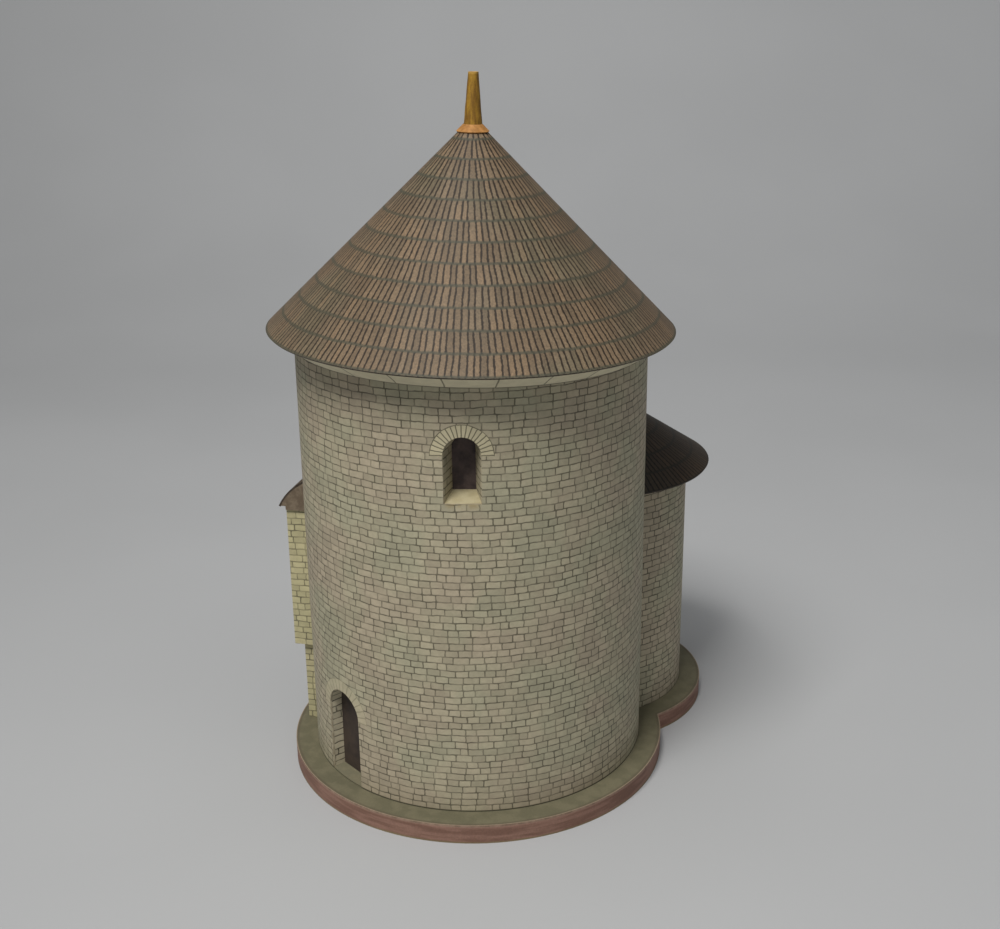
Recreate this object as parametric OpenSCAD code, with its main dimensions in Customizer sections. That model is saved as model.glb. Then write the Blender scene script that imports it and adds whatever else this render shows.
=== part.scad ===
// Card model of a Romanesque rotunda: a round nave with an apse and a small
// oriel on a pier, standing on a low board base. Made of thin printed card.
//
// Frame: origin on the nave's axis at the underside of the base, +Z up.
// The door side faces -Y and the apse faces +Y. A "turn" is an angle about Z,
// counted from -Y towards +X, and it says which way a piece faces.

/* [Card] */
// Thickness of the card that every wall and roof is folded from
card = 0.3; // [0.2:0.05:0.5]

/* [Base] */
// Height of the whole base
base_h = 3; // [1.5:0.1:6]
// Width of the base that shows around the walls
base_lip = 3.5; // [1.5:0.1:8]

/* [Nave] */
// Outer radius of the nave wall
nave_r = 26; // [20:0.5:34]
// Height of the nave wall from the base to the foot of the cornice
nave_wall_h = 64; // [50:0.5:80]

/* [Cornice and nave roof] */
// How far the roof's edge stands out past the nave wall
eave_reach = 3.95; // [2.5:0.05:5]
// Height of the cornice from its foot to the roof's edge
cornice_rise = 2.4; // [1.6:0.1:3]
// Slope of the nave roof in degrees
roof_slope = 44.8; // [35:0.1:55]
// How far the roof leans, with its cornice, from being glued on by hand
roof_lean = 1.4; // [0:0.1:2]
// Which way the roof leans
roof_lean_turn = 137; // [0:1:360]

/* [Finial] */
// Radius of the collar that caps the roof
collar_r = 2.35; // [2:0.05:3]
// Height of the collar's rim
collar_rim = 0.35; // [0.1:0.05:0.6]
// Radius of the spike at its foot
spike_r = 1.38; // [1:0.02:1.6]
// Radius of the spike's flat tip
spike_tip_r = 0.78; // [0.5:0.02:1]
// Height of the spike
spike_h = 7.4; // [4:0.1:12]

/* [Door] */
// Which way the door faces
door_turn = -4.7; // [-8:0.1:2]
// Clear width of the doorway
door_w = 7.4; // [5:0.1:9]
// Height of the doorway at the top of its arch
door_h = 14.9; // [10:0.1:20]
// How far the door panel lies behind the wall's inner face
door_depth = 2; // [1:0.1:4]

/* [Window] */
// Which way the window faces
window_turn = 43; // [35:0.1:60]
// Clear width of the window in the wall
window_w = 5.2; // [3.5:0.1:7]
// Clear width of the window at its back panel
window_back_w = 3.24; // [2:0.02:3.4]
// Height of the window's sill above the base
window_sill_h = 47.85; // [30:0.05:49]
// Height of the window from its sill to the top of its arch
window_h = 9.45; // [7:0.05:11]
// How far the window's back panel lies behind the wall's inner face
window_depth = 3.6; // [2:0.1:6]
// How much the sill climbs towards the back panel
sill_rise = 0.75; // [0.3:0.05:1.5]

/* [Apse] */
// Outer radius of the apse wall
apse_r = 16.5; // [13:0.1:20]
// How far the apse's centre lies inside the nave wall's outer face
apse_inset = 0.1; // [0:0.1:2]
// Height of the apse roof's edge above the base
apse_eave_h = 39.5; // [30:0.1:48]
// How far the apse roof's edge stands out past the apse wall
apse_eave_reach = 3.6; // [2:0.1:5]
// Height of the apse roof from its edge to its peak
apse_roof_h = 13; // [9:0.1:16]

/* [Oriel and pier] */
// Which way the oriel faces
oriel_turn = -58; // [-66:0.5:-52]
// Width of the oriel
oriel_w = 10; // [9:0.1:12]
// How far the oriel's front stands out past the nave wall
oriel_reach = 3; // [2:0.1:4]
// Height of the oriel's underside above the base
oriel_bottom_h = 13.6; // [8:0.1:20]
// Height of the oriel's walls from its underside to its gables
oriel_wall_h = 23.2; // [16:0.1:30]
// Height from the foot of the oriel's gables to the edge of its roof
oriel_gable_rise = 0.6; // [0.3:0.05:1]
// How far the oriel's roof stands out past its front
oriel_eave_reach = 1.1; // [0.6:0.1:2]
// Height of the oriel's roof from its front edge to the nave wall
oriel_roof_rise = 4.2; // [3.8:0.1:5]
// Radius of the curve that the oriel's roof is bent to
oriel_roof_bend = 9.5; // [6:0.1:14]
// Width of the pier below the oriel
pier_w = 8.4; // [6:0.1:8.8]
// How far the pier's front stands out past the nave wall
pier_reach = 1.7; // [1.2:0.1:1.9]

/* [Hidden] */
$fn = 96;
// Every round piece is cut through by blocks that run this far past it
past = 5;
// How far the cornice ends behind the roof's cut edge
cornice_setback = 0.05;

// Base: the printed cover lies on the core and on the strip around its edge
floor_z = base_h;
core_top_z = base_h - card;
base_r = nave_r + base_lip;
apse_base_r = apse_r + base_lip;

// Nave
nave_inner_r = nave_r - card;
cornice_foot_z = floor_z + nave_wall_h;
eave_r = nave_r + eave_reach;
eave_z = cornice_foot_z + cornice_rise;
wall_top_z = eave_z;
apex_z = eave_z + eave_r * tan(roof_slope);
// Card thickness of the roof, measured straight down
roof_drop = card / cos(roof_slope);
// The cornice starts around the wall, with room to lean, and ends against
// the roof's underside a little behind the roof's edge
cornice_foot_r = nave_r / cos(roof_lean) + card * tan(roof_lean);
cornice_end_r = eave_r - card - cornice_setback;
cornice_end_z = under_roof(cornice_end_r);
cornice_slope = atan((cornice_end_z - cornice_foot_z) / (cornice_end_r - cornice_foot_r));
cornice_drop = card / cos(cornice_slope);
cornice_back_r = (under_roof(0) - cornice_foot_z - cornice_drop
                  + cornice_foot_r * tan(cornice_slope))
               / (tan(roof_slope) + tan(cornice_slope));

// Finial: the roof is cut flat where the spike stands on it
spike_foot_z = apex_z - spike_r * tan(roof_slope);
spike_bore_r = spike_r - card / sin(roof_slope);

// Door
door_spring_z = floor_z + door_h - door_w / 2;
door_panel_y = -nave_inner_r + door_depth;

// Window
window_sill_z = floor_z + window_sill_h;
window_spring_z = window_sill_z + window_h - window_w / 2;
window_panel_y = -nave_inner_r + window_depth;
// Narrowing of the window per millimetre of depth, on each side
splay = (window_w - window_back_w) / 2 / (window_panel_y + nave_r);
sill_slope = sill_rise / (window_panel_y + nave_r);

// Apse
apse_offset = nave_r - apse_inset;
apse_eave_r = apse_r + apse_eave_reach;
apse_eave_z = floor_z + apse_eave_h;
apse_slope = atan(apse_roof_h / apse_eave_r);
apse_drop = card / cos(apse_slope);

// Oriel, in its own view: "out" is the distance from the nave's axis
oriel_out = nave_r + oriel_reach;
oriel_bottom_z = floor_z + oriel_bottom_h;
oriel_gable_z = oriel_bottom_z + oriel_wall_h;
oriel_eave_out = oriel_out + oriel_eave_reach;
oriel_eave_z = oriel_gable_z + oriel_gable_rise;
// Where the side walls end against the round nave wall
oriel_root_out = sqrt(nave_r * nave_r - oriel_w * oriel_w / 4) - card;
// Centre of the roof's bend, worked out from its front edge and its top
bend_run = oriel_eave_out - nave_r;
bend_chord = sqrt(bend_run * bend_run + oriel_roof_rise * oriel_roof_rise);
bend_depth = sqrt(oriel_roof_bend * oriel_roof_bend - bend_chord * bend_chord / 4);
bend_out = (oriel_eave_out + nave_r) / 2 - bend_depth * oriel_roof_rise / bend_chord;
bend_z = oriel_eave_z + oriel_roof_rise / 2 - bend_depth * bend_run / bend_chord;

// Pier
pier_out = nave_r + pier_reach;

// Turns at which one piece of the nave wall ends and the next begins
behind_apse_from = 146;
behind_apse_to = 214;
right_to = 94;
left_from = 263;
oriel_bay_to = 322;
// Half the arc from which the strips over and under an opening are cut
bay_half_turn = 40;
// Turns about the apse's centre that divide its wall in three
apse_right_from = 60;
apse_end_from = 144;
apse_end_to = 216;
apse_left_to = 300;

// Height of the nave roof's underside at a radius
function under_roof(r) = apex_z - roof_drop - r * tan(roof_slope);

// ---- Shared shapes ----

// Outline of the base: a circle under the nave and one under the apse
module base_outline(inset = 0) {
    circle(r = base_r - inset);
    translate([0, apse_offset]) circle(r = apse_base_r - inset);
}

// Upright tube of card between two turns
module wall_arc(r, from, to, bottom, top) {
    rotate([0, 0, from - 90])
        rotate_extrude(angle = to - from)
            translate([r - card, bottom]) square([card, top - bottom]);
}

// Block that stands upright and runs along Y, with a round-arched top
module arch_block(w, bottom, spring, front, back) {
    translate([-w / 2, front, bottom]) cube([w, back - front, spring - bottom]);
    translate([0, back, spring])
        rotate([90, 0, 0]) cylinder(r = w / 2, h = back - front);
}

// Upper half of the space around a height, for trimming arches
module above(z) {
    translate([-nave_r, -2 * nave_r, z]) cube([2 * nave_r, 2 * nave_r, 2 * nave_r]);
}

// Everything inside the nave wall's inner face
module inside_nave(bottom, top) {
    translate([0, 0, bottom]) cylinder(r = nave_inner_r, h = top - bottom);
}

// The nave wall's own space, outer face and all
module nave_space() {
    translate([0, 0, -past]) cylinder(r = nave_r, h = apex_z + 2 * past);
}

// ---- Base ----

module base_core() {
    color([0.62, 0.58, 0.52])
        linear_extrude(core_top_z) base_outline(card);
}

module base_edge() {
    color([0.42, 0.27, 0.20])
        linear_extrude(core_top_z)
            difference() {
                base_outline();
                base_outline(card);
            }
}

module base_cover() {
    color([0.45, 0.45, 0.36])
        translate([0, 0, core_top_z]) linear_extrude(card) base_outline();
}

// ---- Nave wall ----

// Full-height slots in line with the door and the window
module door_bay() {
    rotate([0, 0, door_turn])
        translate([-door_w / 2, -nave_r - past, 0])
            cube([door_w, nave_r, eave_z + past]);
}

module window_bay() {
    rotate([0, 0, window_turn])
        translate([-window_w / 2, -nave_r - past, 0])
            cube([window_w, nave_r, eave_z + past]);
}

module nave_wall_piece(from, to) {
    color([0.60, 0.58, 0.50])
        difference() {
            wall_arc(nave_r, from, to, floor_z, wall_top_z);
            door_bay();
            window_bay();
        }
}

module nave_wall_front() {
    nave_wall_piece(door_turn, window_turn);
}

module nave_wall_right() {
    nave_wall_piece(window_turn, right_to);
}

module nave_wall_back_right() {
    nave_wall_piece(right_to, behind_apse_from);
}

module nave_wall_behind_apse() {
    nave_wall_piece(behind_apse_from, behind_apse_to);
}

module nave_wall_back_left() {
    nave_wall_piece(behind_apse_to, left_from);
}

module nave_wall_behind_oriel() {
    nave_wall_piece(left_from, oriel_bay_to);
}

module nave_wall_left() {
    nave_wall_piece(oriel_bay_to, 360 + door_turn);
}

// Strip of the nave wall as wide as an opening
module bay_strip(turn, w, bottom, top) {
    rotate([0, 0, turn])
        intersection() {
            wall_arc(nave_r, -bay_half_turn, bay_half_turn, bottom, top);
            translate([-w / 2, -nave_r - past, bottom]) cube([w, nave_r, top - bottom]);
        }
}

module nave_wall_over_door() {
    color([0.60, 0.58, 0.50])
        difference() {
            bay_strip(door_turn, door_w, door_spring_z, wall_top_z);
            rotate([0, 0, door_turn])
                arch_block(door_w, 0, door_spring_z, -nave_r - past, 0);
        }
}

module nave_wall_over_window() {
    color([0.60, 0.58, 0.50])
        difference() {
            bay_strip(window_turn, window_w, window_spring_z, wall_top_z);
            rotate([0, 0, window_turn])
                arch_block(window_w, 0, window_spring_z, -nave_r - past, 0);
        }
}

module nave_wall_under_window() {
    color([0.60, 0.58, 0.50])
        bay_strip(window_turn, window_w, floor_z, window_sill_z);
}

// ---- Door recess: a folded lining behind the doorway and a dark panel ----

// The lining's jamb, on the side given by -1 for left or 1 for right
module door_jamb(side) {
    color([0.58, 0.57, 0.50])
        rotate([0, 0, door_turn])
            intersection() {
                translate([side > 0 ? door_w / 2 : -door_w / 2 - card, -nave_r, floor_z])
                    cube([card, nave_r + door_panel_y, door_spring_z - floor_z]);
                inside_nave(0, eave_z);
            }
}

module door_jamb_left() {
    door_jamb(-1);
}

module door_jamb_right() {
    door_jamb(1);
}

module door_arch() {
    color([0.58, 0.57, 0.50])
        rotate([0, 0, door_turn])
            intersection() {
                difference() {
                    arch_block(door_w + 2 * card, 0, door_spring_z, -nave_r, door_panel_y);
                    arch_block(door_w, 0, door_spring_z, -nave_r - past, past);
                }
                above(door_spring_z);
                inside_nave(0, eave_z);
            }
}

module door_threshold() {
    color([0.58, 0.60, 0.52])
        rotate([0, 0, door_turn])
            intersection() {
                translate([-door_w / 2, -nave_r, floor_z])
                    cube([door_w, nave_r + door_panel_y, card]);
                translate([0, 0, floor_z]) cylinder(r = nave_r, h = card);
            }
}

module door_panel() {
    color([0.20, 0.15, 0.17])
        rotate([0, 0, door_turn])
            arch_block(door_w + 2 * card, floor_z, door_spring_z, door_panel_y,
                       door_panel_y + card);
}

// ---- Window recess: a lining that narrows inwards and a dark panel ----

// Plan of the window's clear space, widened on each side by a margin
module window_plan(margin = 0) {
    front_y = -nave_r - past;
    front_half = window_w / 2 + splay * past + margin;
    back_half = window_back_w / 2 + margin;
    polygon([
        [-front_half, front_y], [front_half, front_y],
        [back_half, window_panel_y], [-back_half, window_panel_y]
    ]);
}

// The narrowing tunnel under the window's arch, as a cone about the spring line
module window_cone(margin = 0) {
    front_y = -nave_r - past;
    translate([0, 0, window_spring_z])
        rotate([-90, 0, 0])
            translate([0, 0, front_y])
                cylinder(r1 = window_w / 2 + splay * past + margin,
                         r2 = window_back_w / 2 + margin,
                         h = window_panel_y - front_y);
}

module window_jamb(side) {
    color([0.58, 0.57, 0.50])
        rotate([0, 0, window_turn])
            intersection() {
                translate([0, 0, window_sill_z - card])
                    linear_extrude(window_spring_z - window_sill_z + card)
                        difference() {
                            window_plan(card);
                            window_plan();
                            translate([side > 0 ? -2 * nave_r : 0, -2 * nave_r])
                                square([2 * nave_r, 2 * nave_r]);
                        }
                inside_nave(0, eave_z);
            }
}

module window_jamb_left() {
    window_jamb(-1);
}

module window_jamb_right() {
    window_jamb(1);
}

module window_arch() {
    color([0.58, 0.57, 0.50])
        rotate([0, 0, window_turn])
            intersection() {
                difference() {
                    window_cone(card);
                    window_cone();
                }
                above(window_spring_z);
                inside_nave(0, eave_z);
            }
}

// The sill fills the lining's foot and slopes up from the wall to the panel
module window_sill() {
    color([0.80, 0.76, 0.64])
        rotate([0, 0, window_turn])
            intersection() {
                translate([0, 0, window_sill_z - card])
                    linear_extrude(card + sill_rise) window_plan();
                rotate([90, 0, -90])
                    translate([0, 0, -window_w])
                        linear_extrude(2 * window_w)
                            polygon([
                                [-window_panel_y, window_sill_z + sill_rise],
                                [nave_r + past, window_sill_z - sill_slope * past],
                                [nave_r + past, window_sill_z - card - sill_slope * past],
                                [-window_panel_y, window_sill_z - card]
                            ]);
                inside_nave(0, eave_z);
            }
}

module window_panel() {
    color([0.12, 0.11, 0.12])
        rotate([0, 0, window_turn])
            arch_block(window_back_w + 2 * card, window_sill_z - card, window_spring_z,
                       window_panel_y, window_panel_y + card);
}

// ---- Cornice, nave roof and finial ----

// Tips the roof and all that is glued to it about the cornice's foot
module leaning() {
    translate([0, 0, cornice_foot_z])
        rotate(a = roof_lean, v = [cos(roof_lean_turn), sin(roof_lean_turn), 0])
            translate([0, 0, -cornice_foot_z]) children();
}

module cornice() {
    color([0.80, 0.76, 0.66])
        leaning()
            rotate_extrude()
                polygon([
                    [cornice_foot_r, cornice_foot_z],
                    [cornice_end_r, cornice_end_z],
                    [cornice_back_r, under_roof(cornice_back_r)],
                    [cornice_foot_r, cornice_foot_z + cornice_drop]
                ]);
}

module nave_roof() {
    color([0.42, 0.36, 0.29])
        leaning()
            rotate_extrude()
                polygon([
                    [eave_r, eave_z],
                    [spike_r, spike_foot_z],
                    [spike_bore_r, spike_foot_z],
                    [eave_r - card * sin(roof_slope), eave_z - card * cos(roof_slope)]
                ]);
}

// The collar is a short cone of card wrapped over the roof's top
module finial_collar() {
    collar_z = apex_z - collar_r * tan(roof_slope);
    color([0.78, 0.50, 0.28])
        leaning()
            rotate_extrude()
                polygon([
                    [collar_r, collar_z],
                    [collar_r, collar_z + collar_rim],
                    [spike_r, spike_foot_z + collar_rim],
                    [spike_r, spike_foot_z]
                ]);
}

module finial_spike() {
    color([0.66, 0.50, 0.18])
        leaning()
            translate([0, 0, spike_foot_z])
                cylinder(r1 = spike_r, r2 = spike_tip_r, h = spike_h);
}

// ---- Apse ----

// Height of the apse roof's underside at a distance from the apse's centre
function under_apse_roof(r) = apse_eave_z + apse_roof_h - apse_drop - r * tan(apse_slope);

// The apse wall is a tube that leans its open side against the nave and
// ends at the roof's sloping underside
module apse_wall_piece(from, to) {
    color([0.52, 0.50, 0.44])
        difference() {
            translate([0, apse_offset, 0])
                rotate([0, 0, from - 90])
                    rotate_extrude(angle = to - from)
                        polygon([
                            [apse_r - card, floor_z],
                            [apse_r, floor_z],
                            [apse_r, under_apse_roof(apse_r)],
                            [apse_r - card, under_apse_roof(apse_r - card)]
                        ]);
            nave_space();
        }
}

module apse_wall_right() {
    apse_wall_piece(apse_right_from, apse_end_from);
}

module apse_wall_end() {
    apse_wall_piece(apse_end_from, apse_end_to);
}

module apse_wall_left() {
    apse_wall_piece(apse_end_to, apse_left_to);
}

module apse_roof() {
    color([0.30, 0.26, 0.22])
        difference() {
            translate([0, apse_offset, 0])
                rotate_extrude()
                    polygon([
                        [apse_eave_r, apse_eave_z],
                        [0, apse_eave_z + apse_roof_h],
                        [0, under_apse_roof(0)],
                        [apse_eave_r - card * sin(apse_slope),
                         apse_eave_z - card * cos(apse_slope)]
                    ]);
            nave_space();
        }
}

// ---- Oriel and pier ----

// The space under the oriel's roof, seen from its side as (out, up): inside
// the bend's underside, and straight down from the bend's widest point
module under_bend() {
    under_r = oriel_roof_bend - card;
    translate([bend_out, bend_z]) circle(r = under_r);
    translate([bend_out - under_r, 0]) square([2 * under_r, bend_z]);
}

// Turns a side view drawn as (out, up) into a slice across the oriel
module across(from, to) {
    rotate([90, 0, -90])
        translate([0, 0, from])
            linear_extrude(to - from) children();
}

// A wall of the oriel or the pier, trimmed to the round nave wall
module against_nave(turn) {
    rotate([0, 0, turn])
        difference() {
            children();
            nave_space();
        }
}

module oriel_front() {
    color([0.62, 0.58, 0.40])
        against_nave(oriel_turn)
            across(-oriel_w / 2, oriel_w / 2)
                intersection() {
                    translate([oriel_out - card, oriel_bottom_z])
                        square([card, oriel_wall_h + 2 * oriel_roof_rise]);
                    under_bend();
                }
}

module oriel_side(from) {
    color([0.62, 0.58, 0.40])
        against_nave(oriel_turn)
            across(from, from + card)
                intersection() {
                    translate([oriel_root_out, oriel_bottom_z])
                        square([oriel_out - card - oriel_root_out,
                                oriel_wall_h + 2 * oriel_roof_rise]);
                    under_bend();
                }
}

module oriel_side_left() {
    oriel_side(oriel_w / 2 - card);
}

module oriel_side_right() {
    oriel_side(-oriel_w / 2);
}

module oriel_floor() {
    color([0.58, 0.54, 0.38])
        against_nave(oriel_turn)
            across(-oriel_w / 2 + card, oriel_w / 2 - card)
                translate([oriel_root_out, oriel_bottom_z])
                    square([oriel_out - card - oriel_root_out, card]);
}

// Brown cheek that closes the roof's side, glued over the side wall's top
module oriel_gable(from) {
    color([0.36, 0.28, 0.22])
        against_nave(oriel_turn)
            across(from, from + card)
                intersection() {
                    union() {
                        translate([oriel_root_out, oriel_gable_z])
                            square([oriel_out - oriel_root_out, 2 * oriel_roof_rise]);
                        translate([oriel_root_out, oriel_eave_z])
                            square([oriel_eave_out - oriel_root_out, 2 * oriel_roof_rise]);
                    }
                    under_bend();
                }
}

module oriel_gable_left() {
    oriel_gable(oriel_w / 2);
}

module oriel_gable_right() {
    oriel_gable(-oriel_w / 2 - card);
}

module oriel_roof() {
    color([0.34, 0.28, 0.22])
        against_nave(oriel_turn)
            across(-oriel_w / 2 - card, oriel_w / 2 + card)
                intersection() {
                    difference() {
                        translate([bend_out, bend_z]) circle(r = oriel_roof_bend);
                        under_bend();
                    }
                    translate([oriel_root_out - card, oriel_eave_z])
                        square([2 * oriel_reach + past, 2 * oriel_roof_rise]);
                }
}

module pier_front() {
    color([0.60, 0.56, 0.42])
        against_nave(oriel_turn)
            across(-pier_w / 2, pier_w / 2)
                translate([pier_out - card, floor_z]) square([card, oriel_bottom_h]);
}

module pier_side(from) {
    color([0.60, 0.56, 0.42])
        against_nave(oriel_turn)
            across(from, from + card)
                translate([oriel_root_out, floor_z])
                    square([pier_out - card - oriel_root_out, oriel_bottom_h]);
}

module pier_side_left() {
    pier_side(pier_w / 2 - card);
}

module pier_side_right() {
    pier_side(-pier_w / 2);
}

base_core();
base_edge();
base_cover();
nave_wall_front();
nave_wall_right();
nave_wall_back_right();
nave_wall_behind_apse();
nave_wall_back_left();
nave_wall_behind_oriel();
nave_wall_left();
nave_wall_over_door();
nave_wall_over_window();
nave_wall_under_window();
door_jamb_left();
door_jamb_right();
door_arch();
door_threshold();
door_panel();
window_jamb_left();
window_jamb_right();
window_arch();
window_sill();
window_panel();
cornice();
nave_roof();
finial_collar();
finial_spike();
apse_wall_right();
apse_wall_end();
apse_wall_left();
apse_roof();
oriel_front();
oriel_side_left();
oriel_side_right();
oriel_floor();
oriel_gable_left();
oriel_gable_right();
oriel_roof();
pier_front();
pier_side_left();
pier_side_right();
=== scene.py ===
"""Finish of a printed card model of a rotunda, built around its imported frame.

Every wall and roof is a sheet of printed card that is rolled, bent or folded to
its place. A sheet's "print" UV map is its flat artwork, in millimetres.
A "turn" is an angle about Z, counted from -Y towards +X.
"""

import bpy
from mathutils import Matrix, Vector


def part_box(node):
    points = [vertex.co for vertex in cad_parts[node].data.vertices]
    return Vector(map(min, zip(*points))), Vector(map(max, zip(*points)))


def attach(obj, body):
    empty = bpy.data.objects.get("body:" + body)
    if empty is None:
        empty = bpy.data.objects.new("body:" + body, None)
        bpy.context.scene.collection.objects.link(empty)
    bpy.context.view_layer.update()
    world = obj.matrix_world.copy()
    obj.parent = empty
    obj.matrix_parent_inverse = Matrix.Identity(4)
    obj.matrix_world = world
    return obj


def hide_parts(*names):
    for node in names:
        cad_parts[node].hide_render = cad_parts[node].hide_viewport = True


bl_info = {
    "name": "Card Rotunda",
    "version": (1, 0, 0),
    "blender": (4, 5, 0),
    "location": "3D Viewport > Sidebar > Rotunda",
    "description": "Builds the printed card sheets of a model rotunda around its frame",
    "category": "Object",
}

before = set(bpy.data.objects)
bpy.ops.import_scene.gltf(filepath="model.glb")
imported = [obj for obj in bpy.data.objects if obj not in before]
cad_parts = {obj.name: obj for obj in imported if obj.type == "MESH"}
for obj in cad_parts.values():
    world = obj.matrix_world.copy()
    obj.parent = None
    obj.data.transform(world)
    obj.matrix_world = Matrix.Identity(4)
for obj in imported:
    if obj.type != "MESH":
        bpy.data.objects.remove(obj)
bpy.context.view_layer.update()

import math

import bmesh
import bpy
from bpy.props import FloatProperty, FloatVectorProperty, IntProperty, PointerProperty
from mathutils import Matrix, Vector, noise
from mathutils.geometry import delaunay_2d_cdt

MM = 0.001
TURN = 2 * math.pi
PRINT_MAP = "print"
PRINT_FLOOR = 3            # height of the base's top, in print millimetres
JOINT_RELIEF = -0.02       # depth of a printed joint in the bump, in millimetres
WALL_SEAM = math.radians(200)
CORNICE_SEAM = math.radians(210)
ROOF_SEAM = math.radians(222)
SENSOR_WIDTH = 36          # width of the camera's sensor, in millimetres
FLAT_GIRTH = 100           # girth in millimetres that tiles on an unrolled sheet count from


# ---------------------------------------------------------------- sizes and colours

def ink(red, green, blue):
    """Linear colour of an ink given as 0 to 255."""
    return tuple(((level / 255 + 0.055) / 1.055) ** 2.4 for level in (red, green, blue))


def length(name, description, default):
    """Length property with its default in metres."""
    return FloatProperty(name=name, description=description, default=default, min=0,
                         precision=5, unit="LENGTH")


def angle(name, description, degrees):
    """Angle property with its default in degrees."""
    return FloatProperty(name=name, description=description,
                         default=math.radians(degrees), unit="ROTATION")


def colour(name, description, red, green, blue):
    """Colour property with its default as 0 to 255 inks."""
    return FloatVectorProperty(name=name, description=description, subtype="COLOR",
                               size=3, min=0, max=1, default=ink(red, green, blue))


def amount(name, description, default):
    """Plain number property."""
    return FloatProperty(name=name, description=description, default=default)


BORDER_INK = ink(84, 72, 60)
WORN_RIM_INK = ink(158, 136, 116)
WORN_EDGE_INK = ink(168, 134, 116)
# The door lining's cream, made paler partly as painted light on jambs that the lamps leave dim.
RUBBED_TIP_INK = ink(198, 158, 82)
LIT_DOOR_LINING_INK = ink(222, 212, 184)
ROOM_INK = ink(226, 232, 240)
BOARD_INKS = (ink(150, 140, 120), ink(128, 120, 104))
CHEEK_INKS = (ink(126, 112, 94), ink(106, 92, 76))
COLLAR_SHADE = ink(150, 104, 52)
CUT_EDGE_INKS = (ink(196, 186, 160), ink(170, 158, 134))
COVER_EDGE_INKS = (ink(158, 132, 114), ink(132, 110, 92))
ROOF_EDGE_INKS = (ink(74, 64, 54), ink(56, 48, 40))
CARD_SHADE = ink(184, 176, 156)

WALL_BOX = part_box("nave_wall_right")
COVER_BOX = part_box("base_cover")
APSE_SIDE_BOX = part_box("apse_wall_right")
APSE_END_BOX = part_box("apse_wall_end")
APSE_ROOF_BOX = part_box("apse_roof")


class RotundaSheets(bpy.types.PropertyGroup):
    """Sizes of the card sheets."""
    card: length("Card", "Thickness of the card", COVER_BOX[1].z - COVER_BOX[0].z)
    seam: length("Seam", "Gap left where a rolled sheet's two ends meet", 0.03 * MM)
    uneven: length("Unevenness", "How far a hand-rolled sheet strays from true", 0.04 * MM)
    nave_r: length("Nave radius", "Outer radius of the nave wall", WALL_BOX[1].x)
    floor_z: length("Floor", "Height of the base's top", WALL_BOX[0].z)
    wall_top_z: length("Wall top", "Height of the nave wall's top edge", WALL_BOX[1].z)
    base_lip: length("Base lip", "Width of base that shows around the walls", 3.5 * MM)
    eave_reach: length("Eave reach", "How far the roof stands out past the wall", 3.95 * MM)
    cornice_rise: length("Cornice rise", "Height from the cornice's foot to the eave", 2.4 * MM)
    roof_slope: angle("Roof slope", "Slope of the nave roof", 44.8)
    roof_lean: angle("Roof lean", "How far the glued roof leans", 1.4)
    roof_lean_turn: angle("Roof lean turn", "Which way the roof leans", 137)
    collar_r: length("Collar radius", "Radius of the collar on the roof's top", 2.35 * MM)
    collar_rim: length("Collar rim", "Height of the collar's rim", 0.35 * MM)
    spike_r: length("Spike radius", "Radius of the spike's foot", 1.38 * MM)
    spike_tip_r: length("Spike tip radius", "Radius of the spike's flat tip", 0.78 * MM)
    spike_h: length("Spike height", "Height of the spike", 7.4 * MM)
    door_turn: angle("Door turn", "Which way the door faces", -4.7)
    door_w: length("Door width", "Clear width of the doorway", 7.4 * MM)
    door_h: length("Door height", "Height of the doorway", 14.9 * MM)
    window_turn: angle("Window turn", "Which way the window faces", 43)
    window_w: length("Window width", "Clear width of the window", 5.2 * MM)
    window_sill_h: length("Window sill", "Height of the window's sill above the base", 47.85 * MM)
    window_h: length("Window height", "Height of the window", 9.45 * MM)
    apse_r: length("Apse radius", "Outer radius of the apse wall", APSE_SIDE_BOX[1].x)
    apse_y: length("Apse centre", "Distance of the apse's centre from the nave's axis",
                   APSE_END_BOX[1].y - APSE_SIDE_BOX[1].x)
    apse_top_z: length("Apse wall top", "Height of the apse wall's top edge",
                       APSE_END_BOX[1].z)
    apse_eave_r: length("Apse eave radius", "Radius of the apse roof's edge",
                        APSE_ROOF_BOX[1].x)
    apse_eave_h: length("Apse eave", "Height of the apse roof's edge above the base", 39.5 * MM)
    apse_roof_h: length("Apse roof rise", "Height of the apse roof", 13 * MM)
    oriel_turn: angle("Oriel turn", "Which way the oriel faces", -58)
    oriel_w: length("Oriel width", "Width of the oriel", 10 * MM)
    oriel_eave_out: length("Oriel eave", "Distance of the oriel's eave from the nave's axis",
                           30.1 * MM)
    oriel_roof_rise: length("Oriel roof rise", "Height of the oriel's roof", 4.2 * MM)
    oriel_roof_bend: length("Oriel roof bend", "Radius that the oriel's roof is bent to",
                            9.5 * MM)


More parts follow.
